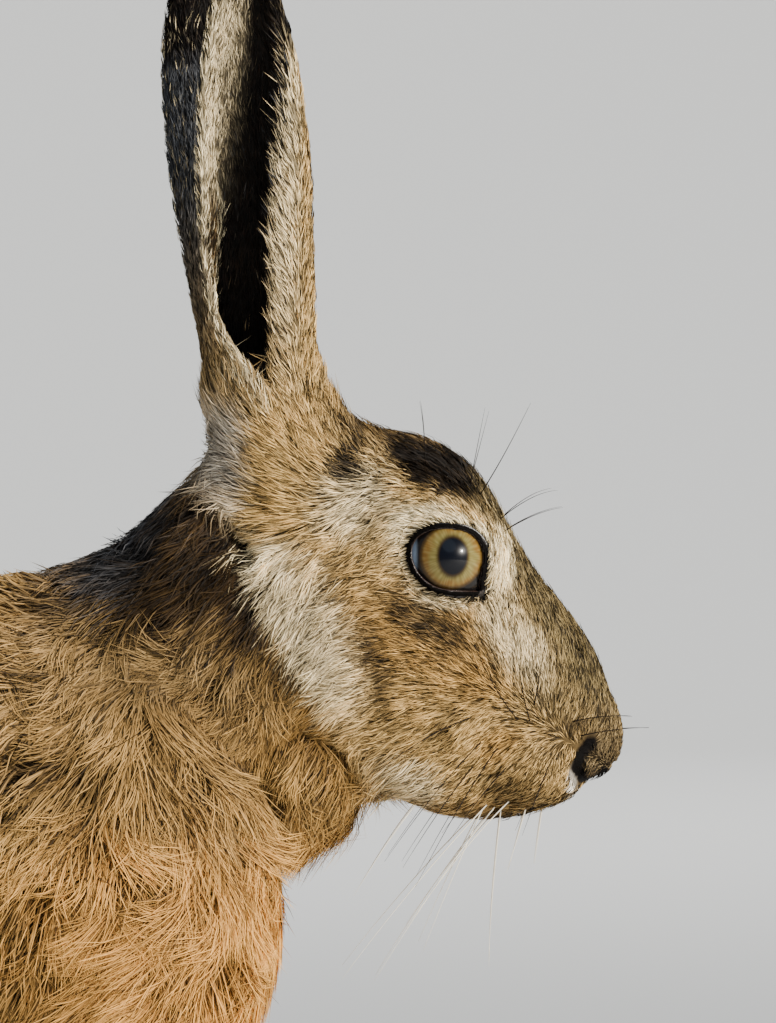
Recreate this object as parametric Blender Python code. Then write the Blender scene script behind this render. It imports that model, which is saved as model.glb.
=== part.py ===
"""A life-size brown hare, sitting upright on straight forelegs with its ears raised.

The flesh is one smooth blend of named masses (ellipsoids), limbs (tapering rods) and two rolled ears,
out to the tips of the coat. It is meshed, thinned, and parted into its named pieces by thin cuts.
Lengths are millimetres in the tables and metres in the scene. +X is the way the hare faces, +Y its left.
"""

import math

import bmesh
import bpy
import numpy as np
from mathutils import Matrix, Vector

MM = 0.001
GAP = 0.4                    # between parted pieces
FAR = 1000.0                 # a distance beyond everything
BODY_GRID, EAR_GRID = 2.0, 1.25
BODY_TRIANGLES, EARS_TRIANGLES = 2850, 1150
BODY_BOX = ((-244, -96, -8), (240, 96, 344))
EARS_BOX = ((92, -60, 308), (172, 60, 440))

# Centre, half sizes (along, across, upright), pitch of the long axis in degrees, and blend with the rest.
# A mass with a Y above 0 stands for the pair, one on each side.
HEAD_MASSES = {
    "cranium": ((151, 0, 290), (29, 21, 21), -40, 0),
    "forehead": ((172, 0, 289.5), (24, 15, 20), -38, 10),
    "brow": ((177, 15, 291), (15, 8, 8), -30, 7),
    "orbit": ((179, 14, 279), (17, 12.5, 15), -40, 8),
    "bridge": ((195, 0, 264), (31, 10.5, 14), -57, 12),
    "snout": ((203, 0, 246), (22, 11.5, 16), -57, 12),
    "flank": ((188, 7, 250), (26, 10, 16), -52, 12),
    "nose": ((214.5, 0, 236.5), (11, 8, 9.5), -72, 6),
    "whisker_pad": ((201, 7.5, 231.5), (15, 9, 12), -30, 7),
    "chin": ((187, 0, 226), (19, 9, 10), -10, 7),
    "cheek": ((165, 12, 256), (30, 14, 26), -45, 13),
    "jaw": ((168, 8, 237), (24, 12, 16), -28, 10),
    "jowl": ((145, 14, 262), (22, 15, 30), -60, 12),
    "ear_root": ((142, 9, 303), (17, 11, 22), 12, 12),
}
BODY_MASSES = {
    "nape": ((124, 0, 291), (24, 19, 11), 56, 12),
    "neck": ((117, 0, 250), (37, 34, 42), -60, 16),
    "ruff": ((145, 0, 226), (19, 27, 20), 30, 10),
    "chest": ((96, 0, 202), (48, 50, 62), 8, 12),
    "withers": ((62, 0, 230), (56, 38, 43), 2, 30),
    "ribs": ((28, 0, 186), (80, 54, 66), 16, 36),
    "back": ((-42, 0, 170), (84, 52, 66), 30, 44),
    "belly": ((-15, 0, 136), (80, 48, 54), 8, 30),
    "rump": ((-106, 0, 106), (76, 56, 66), 44, 44),
    "shoulder": ((104, 30, 186), (30, 23, 52), -8, 24),
    "haunch": ((-84, 45, 88), (84, 33, 68), 16, 20),
}
# Points along each limb, its radius at each, and blend with the rest.
LIMBS = {
    "foreleg": (((100, 32, 158), (99, 31, 132), (106, 29, 84), (113, 28, 34)), (25, 20.5, 14, 11), 16),
    "forepaw": (((113, 28, 34), (121, 28, 13), (139, 29, 9.5)), (11, 12.5, 10.5), 10),
    "shank": (((-20, 55, 76), (-85, 55, 50), (-145, 50, 28)), (27, 24, 18), 18),
    "hindfoot": (((-150, 50, 15), (-90, 51, 11), (-18, 53, 9.5)), (16, 13, 12), 12),
    "tail": (((-150, 0, 66), (-176, 0, 44), (-212, 0, 29)), (21, 21, 14), 24),
}
HEAD_BLEND = 6               # the head's edge over the neck stays crisp
EAR_BLEND = 12
LIMB_JOINT_BLEND = 14

# The ears: a rolled leaf that opens outwards, on an axis through the notch at the foot of its opening.
EAR_NOTCH = (136.3, 13.4, 321.0)
EAR_LENGTH = 108.0
EAR_HALF_WIDTH = 14.6
EAR_WIDEST = 0.42            # share of the length where the taper begins
EAR_WALL = 3.6               # skin and coat together
EAR_ROOT = 30.0              # how far the rolled foot runs down into the head
EAR_CUT = 325.0              # height of the level cut that parts the ears from the head
CUT_SPARE = 6.0              # how far the two meshes run past that cut before it is made
EAR_BOX_HALF = 60.0          # of the box over the head that holds one ear
EAR_SPLAY = 9.0
EAR_LEAN = {"right": 2.5, "left": 10.0}
SIDES = {"right": -1, "left": 1}
EAR_SHARES = (-0.28, 0.0, 0.3, 0.7, 1.0)
EAR_DEPTHS = (5.0, 9.2, 9.5, 7.5, 4.5)
FOOT_SHARES = (0.6, 0.93, 0.99)     # of the half width, at the root, the notch and a little above
MARGIN_SHARES = (0.0, 0.06, 0.18, 0.35, 0.5, 0.8, 1.0)
FRONT_MARGIN = (12, 13, 15, 19, 26, 70, 88)     # degrees forward of straight out
BACK_MARGIN = (4, -18, -62, -88, -89, -91, -92)

EYE_RADIUS = 10.7
EYE = (180.5, 19.0, 279.6)
NOSTRIL, NOSTRIL_SIZE, NOSTRIL_PITCH = (216.5, 6.6, 230.5), (3.0, 3.2, 5.4), -60

CLAW_LENGTH, CLAW_RADIUS, CLAW_TIP, CLAW_DROOP = 8.0, 1.5, 0.4, 14
CLAW_HEIGHT = 6.5
FORE_CLAWS = ((147.0, 21.5), (150.0, 26.2), (150.0, 31.4), (147.0, 36.2))
HIND_CLAWS = ((-9.4, 45.6), (-6.4, 50.4), (-6.4, 55.6), (-9.4, 60.4))

# Colour and roughness of each material, and the coat of each kind of piece.
COLOURS = {
    "ticked_tan": ((0.48, 0.36, 0.22), 0.9), "dark_brown": ((0.26, 0.18, 0.10), 0.9),
    "golden_buff": ((0.53, 0.36, 0.19), 0.9), "grizzled_brown": ((0.40, 0.29, 0.17), 0.9),
    "grey_white": ((0.60, 0.58, 0.55), 0.9), "eye": ((0.42, 0.22, 0.05), 0.05),
    "claw": ((0.10, 0.08, 0.06), 0.4),
}
COATS = {
    "head": "ticked_tan", "ear": "ticked_tan", "neck": "dark_brown", "chest": "golden_buff",
    "shoulder": "golden_buff", "foreleg": "golden_buff", "forepaw": "golden_buff",
    "trunk": "grizzled_brown", "haunch": "grizzled_brown", "shank": "golden_buff",
    "hindfoot": "golden_buff", "tail": "grey_white",
}


def blend(a, b, width):
    """The union of two distances, with a fillet about as wide as width."""
    if width <= 0:
        return np.minimum(a, b)
    near = np.maximum(width - np.abs(a - b), 0) / width
    return np.minimum(a, b) - near * near * width / 4


def trim(a, b, width):
    """What is inside both, with a rounded edge."""
    return -blend(-a, -b, width)


def mass_distance(p, centre, half_sizes, pitch):
    angle = math.radians(pitch)
    axes = np.array([
        [math.cos(angle), 0, -math.sin(angle)],
        [0, 1, 0],
        [math.sin(angle), 0, math.cos(angle)],
    ])
    q = (p - np.array(centre, float)) @ axes
    r = np.array(half_sizes, float)
    share = np.maximum(np.linalg.norm(q / r, axis=1), 1e-6)
    slope = np.maximum(np.linalg.norm(q / (r * r), axis=1), 1e-6 / r.min())
    return share * (share - 1) / slope


def limb_distance(p, points, radii):
    joined = np.full(len(p), FAR)
    for start, end, r0, r1 in zip(points, points[1:], radii, radii[1:]):
        a, b = np.array(start, float), np.array(end, float)
        t = np.clip((p - a) @ (b - a) / ((b - a) @ (b - a)), 0, 1)
        from_axis = np.linalg.norm(p - a - t[:, None] * (b - a), axis=1)
        joined = blend(joined, from_axis - (r0 + (r1 - r0) * t), LIMB_JOINT_BLEND * min(r0, r1) / 25)
    return joined


def ear_place(p, side_name):
    """Each point in the ear's own frame: height over the notch, forward of the axis, and outward."""
    lean, splay = math.radians(EAR_LEAN[side_name]), math.radians(EAR_SPLAY)
    up = np.array(Vector((-math.sin(lean), math.sin(splay), math.cos(lean))).normalized())
    fore = np.array([1.0, 0, 0])
    fore -= up * (fore @ up)
    fore /= np.linalg.norm(fore)
    q = p * np.array([1, SIDES[side_name], 1]) - np.array(EAR_NOTCH)
    return q @ up, q @ fore, q @ np.cross(up, fore)


def ear_distance(p, side_name):
    height, fore, out = ear_place(p, side_name)
    t = np.clip(height / EAR_LENGTH, EAR_SHARES[0], 1.0)
    foot = np.interp(t, (EAR_SHARES[0], 0, EAR_WIDEST), FOOT_SHARES)
    taper = np.sqrt(np.maximum(1 - ((t - EAR_WIDEST) / (1.008 - EAR_WIDEST)) ** 2, 0))
    half_width = np.maximum(EAR_HALF_WIDTH * np.where(t < EAR_WIDEST, foot, taper), 1.2)
    depth = np.minimum(np.interp(t, EAR_SHARES, EAR_DEPTHS), half_width)
    from_axis = np.hypot(fore, out)
    share = np.hypot(fore / half_width, out / depth)
    rim = np.where(from_axis < 1e-6, depth, from_axis / np.maximum(share, 1e-6))
    outside = from_axis - rim
    leaf = np.abs(outside + EAR_WALL / 2) - EAR_WALL / 2
    angle = np.degrees(np.arctan2(fore / half_width, out / depth))
    front = np.interp(t, MARGIN_SHARES, FRONT_MARGIN)
    back = np.interp(t, MARGIN_SHARES, BACK_MARGIN)
    from_margin = (front - back) / 2 - np.abs(angle - (front + back) / 2)
    opening = np.radians(from_margin) * np.maximum(rim, 3)
    opening = np.where(height < 0, np.minimum(opening, height), opening)
    rolled = np.maximum(trim(leaf, opening, 2.0), height - EAR_LENGTH)
    filled = np.maximum(outside + EAR_WALL * 0.5, height + 2)
    return np.maximum(blend(rolled, filled, 4.0), -height - EAR_ROOT)


def hare_distance(p):
    """How far each point is outside the hare's coat, in millimetres."""
    pair = np.stack([p[:, 0], np.abs(p[:, 1]), p[:, 2]], axis=1)
    head = np.full(len(p), FAR)
    for centre, half_sizes, pitch, width in HEAD_MASSES.values():
        head = blend(head, mass_distance(pair, centre, half_sizes, pitch), width)
    body = np.full(len(p), FAR)
    for centre, half_sizes, pitch, width in BODY_MASSES.values():
        body = blend(body, mass_distance(pair, centre, half_sizes, pitch), width)
    for points, radii, width in LIMBS.values():
        body = blend(body, limb_distance(pair, points, radii), width)
    hare = blend(head, body, HEAD_BLEND)
    for side_name in SIDES:
        hare = blend(hare, ear_distance(p, side_name), EAR_BLEND)
    return hare


def body_distance(p):
    return np.maximum(hare_distance(p), p[:, 2] - (EAR_CUT + CUT_SPARE))


def ears_distance(p):
    return np.maximum(hare_distance(p), EAR_CUT - CUT_SPARE - p[:, 2])


def read_between(values, fine, coarse, axis):
    """Values known at the coarse places along an axis, read off at the fine places."""
    at = np.clip(np.searchsorted(coarse, fine) - 1, 0, len(coarse) - 2)
    shape = [1, 1, 1]
    shape[axis] = -1
    share = ((fine - coarse[at]) / (coarse[at + 1] - coarse[at])).reshape(shape)
    return np.take(values, at, axis) * (1 - share) + np.take(values, at + 1, axis) * share


def sample(distance, low, high, step):
    """Distances on a grid: exact near the surface, and read off a coarser grid elsewhere."""
    skip = 4
    counts = [math.ceil((h - l) / (step * skip)) * skip + 1 for l, h in zip(low, high)]
    fine = [l + step * np.arange(n) for l, n in zip(low, counts)]
    coarse = [places[::skip] for places in fine]
    points = np.stack(np.meshgrid(*coarse, indexing="ij"), axis=-1)
    grid = distance(points.reshape(-1, 3)).reshape(points.shape[:3])
    for axis in range(3):
        grid = read_between(grid, fine[axis], coarse[axis], axis)
    near = np.abs(grid) < 2 * step * skip
    i, j, k = np.nonzero(near)
    grid[near] = distance(np.stack([fine[0][i], fine[1][j], fine[2][k]], axis=1))
    return grid


def cell_points(grid):
    """One point in each grid cell that the surface passes through, at the mean of its crossings."""
    cells = tuple(n - 1 for n in grid.shape)
    total = np.zeros(cells + (3,))
    crossings = np.zeros(cells)
    for axis in range(3):
        v0 = np.delete(grid, -1, axis)
        v1 = np.delete(grid, 0, axis)
        crossed = np.argwhere((v0 < 0) != (v1 < 0))
        a, b = v0[tuple(crossed.T)], v1[tuple(crossed.T)]
        point = crossed.astype(float)
        point[:, axis] += a / (a - b)
        for du in (0, 1):
            for dv in (0, 1):
                cell = crossed - np.insert([du, dv], axis, 0)
                kept = ((cell >= 0) & (cell < cells)).all(axis=1)
                np.add.at(total, tuple(cell[kept].T), point[kept])
                np.add.at(crossings, tuple(cell[kept].T), 1)
    used = crossings > 0
    index = np.full(cells, -1)
    index[used] = np.arange(used.sum())
    return total[used] / crossings[used][:, None], index


def cell_quads(grid, index):
    """One quad round each grid edge that the surface crosses, facing out."""
    inside = grid < 0
    quads = []
    for axis in range(3):
        inner = [slice(1, -1)] * 3
        inner[axis] = slice(None)
        core = inside[tuple(inner)]
        v0, v1 = np.delete(core, -1, axis), np.delete(core, 0, axis)
        u, v = np.eye(3, dtype=int)[(axis + 1) % 3], np.eye(3, dtype=int)[(axis + 2) % 3]
        for outward in (True, False):
            edge = np.argwhere((v0 == outward) & (v1 != outward)) + u + v
            ring = [index[tuple((edge - offset).T)] for offset in (u + v, v, 0 * u, u)]
            quads.append(np.stack(ring if outward else ring[::-1], axis=1))
    return np.concatenate(quads)


def make_flesh(name, distance, box, step, triangles, collection):
    """A closed mesh of the surface where the distance is 0, thinned to about so many triangles."""
    grid = sample(distance, *box, step)
    points, index = cell_points(grid)
    vertices = (points * step + np.array(box[0])) * MM
    faces = cell_quads(grid, index)
    mesh = bpy.data.meshes.new(name)
    mesh.from_pydata(vertices.tolist(), [], faces.tolist())
    obj = new_object(name, mesh, collection)
    thin = obj.modifiers.new("thin", "DECIMATE")
    thin.ratio = triangles / (2 * len(faces))
    return applied(obj)


def new_object(name, mesh, collection):
    obj = bpy.data.objects.new(name, mesh)
    collection.objects.link(obj)
    return obj


def applied(obj):
    """The object, with its modifiers made part of its mesh."""
    graph = bpy.context.evaluated_depsgraph_get()
    mesh = bpy.data.meshes.new_from_object(obj.evaluated_get(graph))
    obj.modifiers.clear()
    obj.data = mesh
    return obj


def cutter_from(bm, name, collection, centre, half_sizes, pitch):
    for matrix in (
        Matrix.Diagonal((*half_sizes, 1)),
        Matrix.Rotation(-math.radians(pitch), 4, "Y"),
        Matrix.Translation(centre),
        Matrix.Scale(MM, 4),
    ):
        bmesh.ops.transform(bm, matrix=matrix, verts=bm.verts)
    bmesh.ops.recalc_face_normals(bm, faces=bm.faces)
    mesh = bpy.data.meshes.new(name)
    bm.to_mesh(mesh)
    bm.free()
    obj = new_object(name, mesh, collection)
    obj.hide_render = True
    obj.display_type = "WIRE"
    return obj


def box_cutter(*placing):
    bm = bmesh.new()
    bmesh.ops.create_cube(bm, size=2)
    return cutter_from(bm, *placing)


def barrel_cutter(*placing):
    """An oval in the side view, straight across."""
    bm = bmesh.new()
    across = Matrix.Rotation(math.pi / 2, 4, "X")
    bmesh.ops.create_cone(bm, cap_ends=True, segments=24, radius1=1, radius2=1, depth=2, matrix=across)
    return cutter_from(bm, *placing)


def ball_cutter(*placing):
    bm = bmesh.new()
    bmesh.ops.create_uvsphere(bm, u_segments=14, v_segments=9, radius=1)
    return cutter_from(bm, *placing)


def boolean(obj, cutter, operation):
    modifier = obj.modifiers.new(operation.lower(), "BOOLEAN")
    modifier.operation = operation
    modifier.object = cutter
    modifier.solver = "EXACT"
    return applied(obj)


def drop_slivers(obj):
    """Keeps the largest shell, and drops what a cut has left loose beside it."""
    bm = bmesh.new()
    bm.from_mesh(obj.data)
    unseen = set(bm.verts)
    shells = []
    while unseen:
        stack = [unseen.pop()]
        shell = list(stack)
        while stack:
            vertex = stack.pop()
            linked = {edge.other_vert(vertex) for edge in vertex.link_edges} & unseen
            unseen -= linked
            stack += linked
            shell += linked
        shells.append(shell)
    shells.sort(key=len)
    for shell in shells[:-1]:
        bmesh.ops.delete(bm, geom=shell, context="VERTS")
    bm.to_mesh(obj.data)
    bm.free()


def part_off(body, name, collections, make_cutter, centre, half_sizes, pitch=0.0):
    """Parts off what lies inside the cutter as a new piece, and leaves a gap round it."""
    hare, cutters = collections
    piece = new_object(name, body.data.copy(), hare)
    wider = [half + GAP for half in half_sizes]
    inner = make_cutter(name + "_cut", cutters, centre, half_sizes, pitch)
    outer = make_cutter(name + "_clearance", cutters, centre, wider, pitch)
    boolean(piece, inner, "INTERSECT")
    boolean(body, outer, "DIFFERENCE")
    drop_slivers(piece)
    drop_slivers(body)
    return piece


def make_eye(name, side, head, collections):
    """A ball in a socket of the head."""
    hare, cutters = collections
    bm = bmesh.new()
    bmesh.ops.create_uvsphere(bm, u_segments=14, v_segments=9, radius=EYE_RADIUS * MM)
    mesh = bpy.data.meshes.new(name)
    bm.to_mesh(mesh)
    bm.free()
    eye = new_object(name, mesh, hare)
    centre = Vector((EYE[0], side * EYE[1], EYE[2]))
    eye.location = centre * MM
    boolean(head, ball_cutter(name + "_socket", cutters, centre, [EYE_RADIUS + GAP] * 3, 0), "DIFFERENCE")
    return eye


def claw_mesh(name, clearance):
    bm = bmesh.new()
    bmesh.ops.create_cone(
        bm, cap_ends=True, segments=6, depth=(CLAW_LENGTH + 2 * clearance) * MM,
        radius1=(CLAW_RADIUS + clearance) * MM, radius2=(CLAW_TIP + clearance) * MM,
    )
    mesh = bpy.data.meshes.new(name)
    bm.to_mesh(mesh)
    bm.free()
    return mesh


def make_claw(name, place, side, paw, collections):
    """A blunt cone in a socket of the paw, pointing forward and a little down."""
    hare, cutters = collections
    claw = new_object(name, claw_mesh(name, 0), hare)
    socket = new_object(name + "_socket", claw_mesh(name + "_socket", GAP), cutters)
    socket.hide_render = True
    socket.display_type = "WIRE"
    for obj in (claw, socket):
        obj.location = Vector((place[0], side * place[1], CLAW_HEIGHT)) * MM
        obj.rotation_euler = (0, math.radians(90 + CLAW_DROOP), 0)
    bpy.context.view_layer.update()
    boolean(paw, socket, "DIFFERENCE")
    return claw


def part_body(body, collections):
    """Parts the body into its pieces. What is left over at the end is the trunk."""
    pieces = {}

    def part(name, *cut, off=body):
        pieces[name] = part_off(off, name, collections, *cut)
        return pieces[name]

    part("head", box_cutter, (231, 0, 309.3), (100, 80, 100), 29)
    part("neck", box_cutter, (191, 0, 302.5), (100, 80, 100), 39.7)
    part("tail", box_cutter, (-212, 0, 20), (40, 30, 66), 30)
    for name, side in SIDES.items():
        part("hindfoot_" + name, box_cutter, (-90, side * 64, -27), (100, 38, 50))
        part("shank_" + name, box_cutter, (-90, side * 64, 38), (100, 38, 15))
        part("haunch_" + name, barrel_cutter, (-80, side * 86, 88), (88, 50, 76), 12)
        foreleg = part("foreleg_" + name, box_cutter, (118, side * 40, 63), (46, 39.8, 68))
        part("forepaw_" + name, box_cutter, (120, side * 40, -20), (60, 60, 50), off=foreleg)
        part("shoulder_" + name, barrel_cutter, (103, side * 68, 182), (31, 40, 53), -8)
    part("chest", box_cutter, (150, 0, 200), (100, 90, 150), -8)
    return pieces


def make_ears(collections):
    """Both ears as one mesh, parted level with the top of the head and from each other."""
    hare, cutters = collections
    both = make_flesh("ears", ears_distance, EARS_BOX, EAR_GRID, EARS_TRIANGLES, hare)
    ears = {}
    half = EAR_BOX_HALF
    for name, side in SIDES.items():
        centre = (130, side * (half + GAP), EAR_CUT + GAP + half)
        over_head = box_cutter("over_head_" + name, cutters, centre, [half] * 3, 0)
        ear = new_object("ear_" + name, both.data.copy(), hare)
        boolean(ear, over_head, "INTERSECT")
        drop_slivers(ear)
        ears["ear_" + name] = ear
    bpy.data.objects.remove(both, do_unlink=True)
    return ears


def colour(obj, name):
    rgb, roughness = COLOURS[name]
    material = bpy.data.materials.get(name) or bpy.data.materials.new(name)
    material.use_nodes = True
    shader = material.node_tree.nodes["Principled BSDF"]
    shader.inputs["Base Color"].default_value = (*rgb, 1)
    shader.inputs["Roughness"].default_value = roughness
    shader.inputs["Metallic"].default_value = 0
    obj.data.materials.clear()
    obj.data.materials.append(material)


def stand_on_origin(objects):
    """Moves everything so that the hare's box stands on the origin, centred."""
    corners = [obj.matrix_world @ vertex.co for obj in objects if not obj.hide_render
               for vertex in obj.data.vertices]
    low = Vector(map(min, zip(*corners)))
    high = Vector(map(max, zip(*corners)))
    shift = -Vector(((low.x + high.x) / 2, (low.y + high.y) / 2, low.z))
    for obj in objects:
        obj.location += shift


def main():
    for obj in list(bpy.data.objects):
        bpy.data.objects.remove(obj, do_unlink=True)
    hare = bpy.data.collections.new("brown_hare")
    cutters = bpy.data.collections.new("cutters")
    for collection in (hare, cutters):
        bpy.context.scene.collection.children.link(collection)
    collections = (hare, cutters)

    body = make_flesh("trunk", body_distance, BODY_BOX, BODY_GRID, BODY_TRIANGLES, hare)
    half_height = EAR_CUT / 2
    over_feet = box_cutter("over_feet", cutters, (0, 0, half_height), (300, 150, half_height), 0)
    boolean(body, over_feet, "INTERSECT")
    pieces = part_body(body, collections)
    pieces["trunk"] = body
    pieces.update(make_ears(collections))
    for piece in pieces.values():
        colour(piece, COATS[piece.name.split("_")[0]])

    for name, side in SIDES.items():
        eye = make_eye("eye_" + name, side, pieces["head"], collections)
        colour(eye, "eye")
        centre = (NOSTRIL[0], side * NOSTRIL[1], NOSTRIL[2])
        nostril = ball_cutter("nostril_" + name, cutters, centre, NOSTRIL_SIZE, NOSTRIL_PITCH)
        boolean(pieces["head"], nostril, "DIFFERENCE")
        for foot, places in (("forepaw_" + name, FORE_CLAWS), ("hindfoot_" + name, HIND_CLAWS)):
            for number, place in enumerate(places, 1):
                claw = make_claw(f"{foot}_claw_{number}", place, side, pieces[foot], collections)
                colour(claw, "claw")
    bpy.context.view_layer.update()
    stand_on_origin(list(hare.objects) + list(cutters.objects))


main()
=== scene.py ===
"""The looks of a life-size brown hare that sits upright on its forelegs, with its ears raised.

One skin, eyes with lids, claws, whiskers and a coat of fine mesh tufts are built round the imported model.
Lengths are millimetres in the hare's own form frame, with +X the way it faces, +Y its left, its nose at
X = 225 and the floor at Z = 0. They become metres in the scene.
"""

import math
from itertools import product

import bpy
import numpy as np
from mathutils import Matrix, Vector


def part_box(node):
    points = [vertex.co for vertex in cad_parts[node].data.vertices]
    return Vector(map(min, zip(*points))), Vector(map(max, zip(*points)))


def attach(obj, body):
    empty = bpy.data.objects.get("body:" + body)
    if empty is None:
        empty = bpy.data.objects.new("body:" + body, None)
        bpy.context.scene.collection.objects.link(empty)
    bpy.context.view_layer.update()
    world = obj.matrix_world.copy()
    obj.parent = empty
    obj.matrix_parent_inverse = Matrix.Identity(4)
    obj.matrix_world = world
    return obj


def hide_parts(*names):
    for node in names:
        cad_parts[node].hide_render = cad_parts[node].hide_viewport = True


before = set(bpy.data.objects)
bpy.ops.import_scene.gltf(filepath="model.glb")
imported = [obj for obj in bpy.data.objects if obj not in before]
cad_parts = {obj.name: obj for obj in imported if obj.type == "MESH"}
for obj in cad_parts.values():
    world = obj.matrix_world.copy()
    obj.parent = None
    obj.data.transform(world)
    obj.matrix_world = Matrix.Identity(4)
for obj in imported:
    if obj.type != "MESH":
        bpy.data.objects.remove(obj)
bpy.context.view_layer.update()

MM = 0.001
FAR = 1000.0                 # a distance beyond everything
SEED = 11

# Centre, half sizes (along, across, upright), pitch of the long axis in degrees, and blend with the rest.
# A mass with a Y above 0 stands for the pair, one on each side.
HEAD_MASSES = {
    "cranium": ((151, 0, 290), (29, 21, 21), -40, 0),
    "forehead": ((172, 0, 289.5), (24, 15, 20), -38, 10),
    "brow": ((177, 15, 291), (15, 8, 8), -30, 7),
    "orbit": ((179, 14, 279), (17, 12.5, 15), -40, 8),
    "bridge": ((195, 0, 264), (31, 10.5, 14), -57, 12),
    "snout": ((203, 0, 246), (22, 11.5, 16), -57, 12),
    "flank": ((188, 7, 250), (26, 10, 16), -52, 12),
    "nose": ((214.5, 0, 236.5), (11, 8, 9.5), -72, 6),
    "whisker_pad": ((201, 7.5, 231.5), (15, 9, 12), -30, 7),
    "chin": ((187, 0, 226), (19, 9, 10), -10, 7),
    "cheek": ((165, 12, 256), (30, 14, 26), -45, 13),
    "jaw": ((168, 8, 237), (24, 12, 16), -28, 10),
    "jowl": ((145, 14, 262), (22, 15, 30), -60, 12),
    "ear_root": ((142, 9, 303), (17, 11, 22), 12, 12),
}
BODY_MASSES = {
    "nape": ((124, 0, 291), (24, 19, 11), 56, 12),
    "neck": ((117, 0, 250), (37, 34, 42), -60, 16),
    "ruff": ((145, 0, 226), (19, 27, 20), 30, 10),
    "chest": ((96, 0, 202), (48, 50, 62), 8, 12),
    "withers": ((62, 0, 230), (56, 38, 43), 2, 30),
    "ribs": ((28, 0, 186), (80, 54, 66), 16, 36),
    "back": ((-42, 0, 170), (84, 52, 66), 30, 44),
    "belly": ((-15, 0, 136), (80, 48, 54), 8, 30),
    "rump": ((-106, 0, 106), (76, 56, 66), 44, 44),
    "shoulder": ((104, 30, 186), (30, 23, 52), -8, 24),
    "haunch": ((-84, 45, 88), (84, 33, 68), 16, 20),
}
# Points along each limb, its radius at each, and blend with the rest.
LIMBS = {
    "foreleg": (((100, 32, 158), (99, 31, 132), (106, 29, 84), (113, 28, 34)), (25, 20.5, 14, 11), 16),
    "forepaw": (((113, 28, 34), (121, 28, 13), (139, 29, 9.5)), (11, 12.5, 10.5), 10),
    "shank": (((-20, 55, 76), (-85, 55, 50), (-145, 50, 28)), (27, 24, 18), 18),
    "hindfoot": (((-150, 50, 15), (-90, 51, 11), (-18, 53, 9.5)), (16, 13, 12), 12),
    "tail": (((-150, 0, 66), (-176, 0, 44), (-212, 0, 29)), (21, 21, 14), 24),
}
HEAD_BLEND = 6               # the head's edge over the neck stays crisp
EAR_BLEND = 12
LIMB_JOINT_BLEND, JOINT_RADIUS = 14, 25     # the fillet inside a limb of so large a radius

# The ears: a rolled leaf that opens outwards, on an axis through the notch at the foot of its opening.
EAR_NOTCH = (136.3, 13.4, 321)
EAR_LENGTH = 108
EAR_HALF_WIDTH = 14.6
EAR_WIDEST, EAR_END = 0.42, 1.008   # shares of the length where the taper begins and would end
EAR_LEAST_HALF = 1.2
EAR_EDGE_ROUND = 2
EAR_FOOT_BLEND = 4
EAR_WALL = 3.6               # skin and coat together
EAR_ROOT = 30                # how far the rolled foot runs down into the head
EAR_SPLAY = 9
EAR_LEAN = {"right": 2.5, "left": 10}
SIDES = {"right": -1, "left": 1}
EAR_SHARES = (-0.28, 0, 0.3, 0.7, 1)
EAR_DEPTHS = (5, 9.2, 9.5, 7.5, 4.5)
FOOT_SHARES = (0.6, 0.93, 0.99)     # of the half width, at the root, the notch and a little above
MARGIN_SHARES = (0, 0.06, 0.18, 0.35, 0.5, 0.8, 1)
FRONT_MARGIN = (12, 13, 15, 19, 26, 70, 88)     # degrees forward of straight out
BACK_MARGIN = (4, -18, -62, -88, -89, -91, -92)

EYE = (180.5, 19, 279.6)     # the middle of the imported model's eye

# Places along each axis of the grid that the skin is meshed on: (start, end, step) of each stretch.
X_STRETCHES = ((-244, 84, 3.2), (84, 128, 2), (128, 167, 1), (167, 195, 0.5), (195, 235, 0.8))
HALF_Y_STRETCHES = ((0, 14, 1), (14, 31, 0.5), (31, 62, 1.6), (62, 96, 3.4))
Z_STRETCHES = (
    (-8, 30, 1.6), (30, 196, 3.2), (196, 220, 1.2), (220, 264, 0.8), (264, 294, 0.5), (294, 330, 1.2),
    (330, 436, 1.6),
)
COARSE = 4                   # every fourth place is measured first
NEAR_SHARE, NEAR_MARGIN = 0.9, 1.5     # of a coarse cell, and mm: places so near the skin are measured too
CORNERS = tuple(product((0, 1), repeat=3))

# The eyeball, its axis (degrees forward and up of straight out), and the parts of the eye.
BALL, BALL_RADIUS = (181.3, 17.8, 279.6), 11.2
GAZE_FORWARD, GAZE_UP = 7, 4
CORNEA_RADIUS, CORNEA_RISE = 7.7, 0.8
PUPIL_HALF_WIDTH, PUPIL_HALF_HEIGHT = 3.4, 4.5
# The lid opening, seen from the side: forward of the ball's centre, and above it.
LID_OPENING = (
    (-8.8, 1.8), (-8.1, 4.3), (-6.2, 6.2), (-3.2, 7.3), (0.6, 7.5), (4.3, 6.9), (7, 5.3), (8.5, 2.8),
    (8.8, 0), (8.4, -3), (8, -5.6), (7.9, -7.7), (5.4, -7.9), (1, -7.7), (-3.2, -6.7),
    (-6.5, -4.2), (-8.3, -1.1),
)
LID_THICKNESS = 1
LID_REACH = 6                # how far the lids' shape runs out into the face
LID_BOX = (20, 15, 20)       # half sizes of the room that the lids are shaped in
LID_SAMPLES = 120

# The nostril's comma, seen from the side, and the mouth line, as places (x, z).
NOSTRIL_LINE = (
    (216.4, 235), (213.9, 231.8), (212.9, 228.6), (214.6, 225.9), (217.6, 225.4), (219.6, 227.6),
)
MOUTH_LINE = ((213.4, 222.4), (208.5, 220.4), (201, 218.2), (193, 217.4), (187, 217.2))
# Grooves in the head: the line, how far it is sunk, its bore, and how round its edge is.
NOSTRIL_BORE = 1.25
GROOVES = ((NOSTRIL_LINE, 0.6, NOSTRIL_BORE, 0.8), (MOUTH_LINE, 0.9, 0.8, 1.0))
GROOVE_MARGIN = 8
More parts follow.
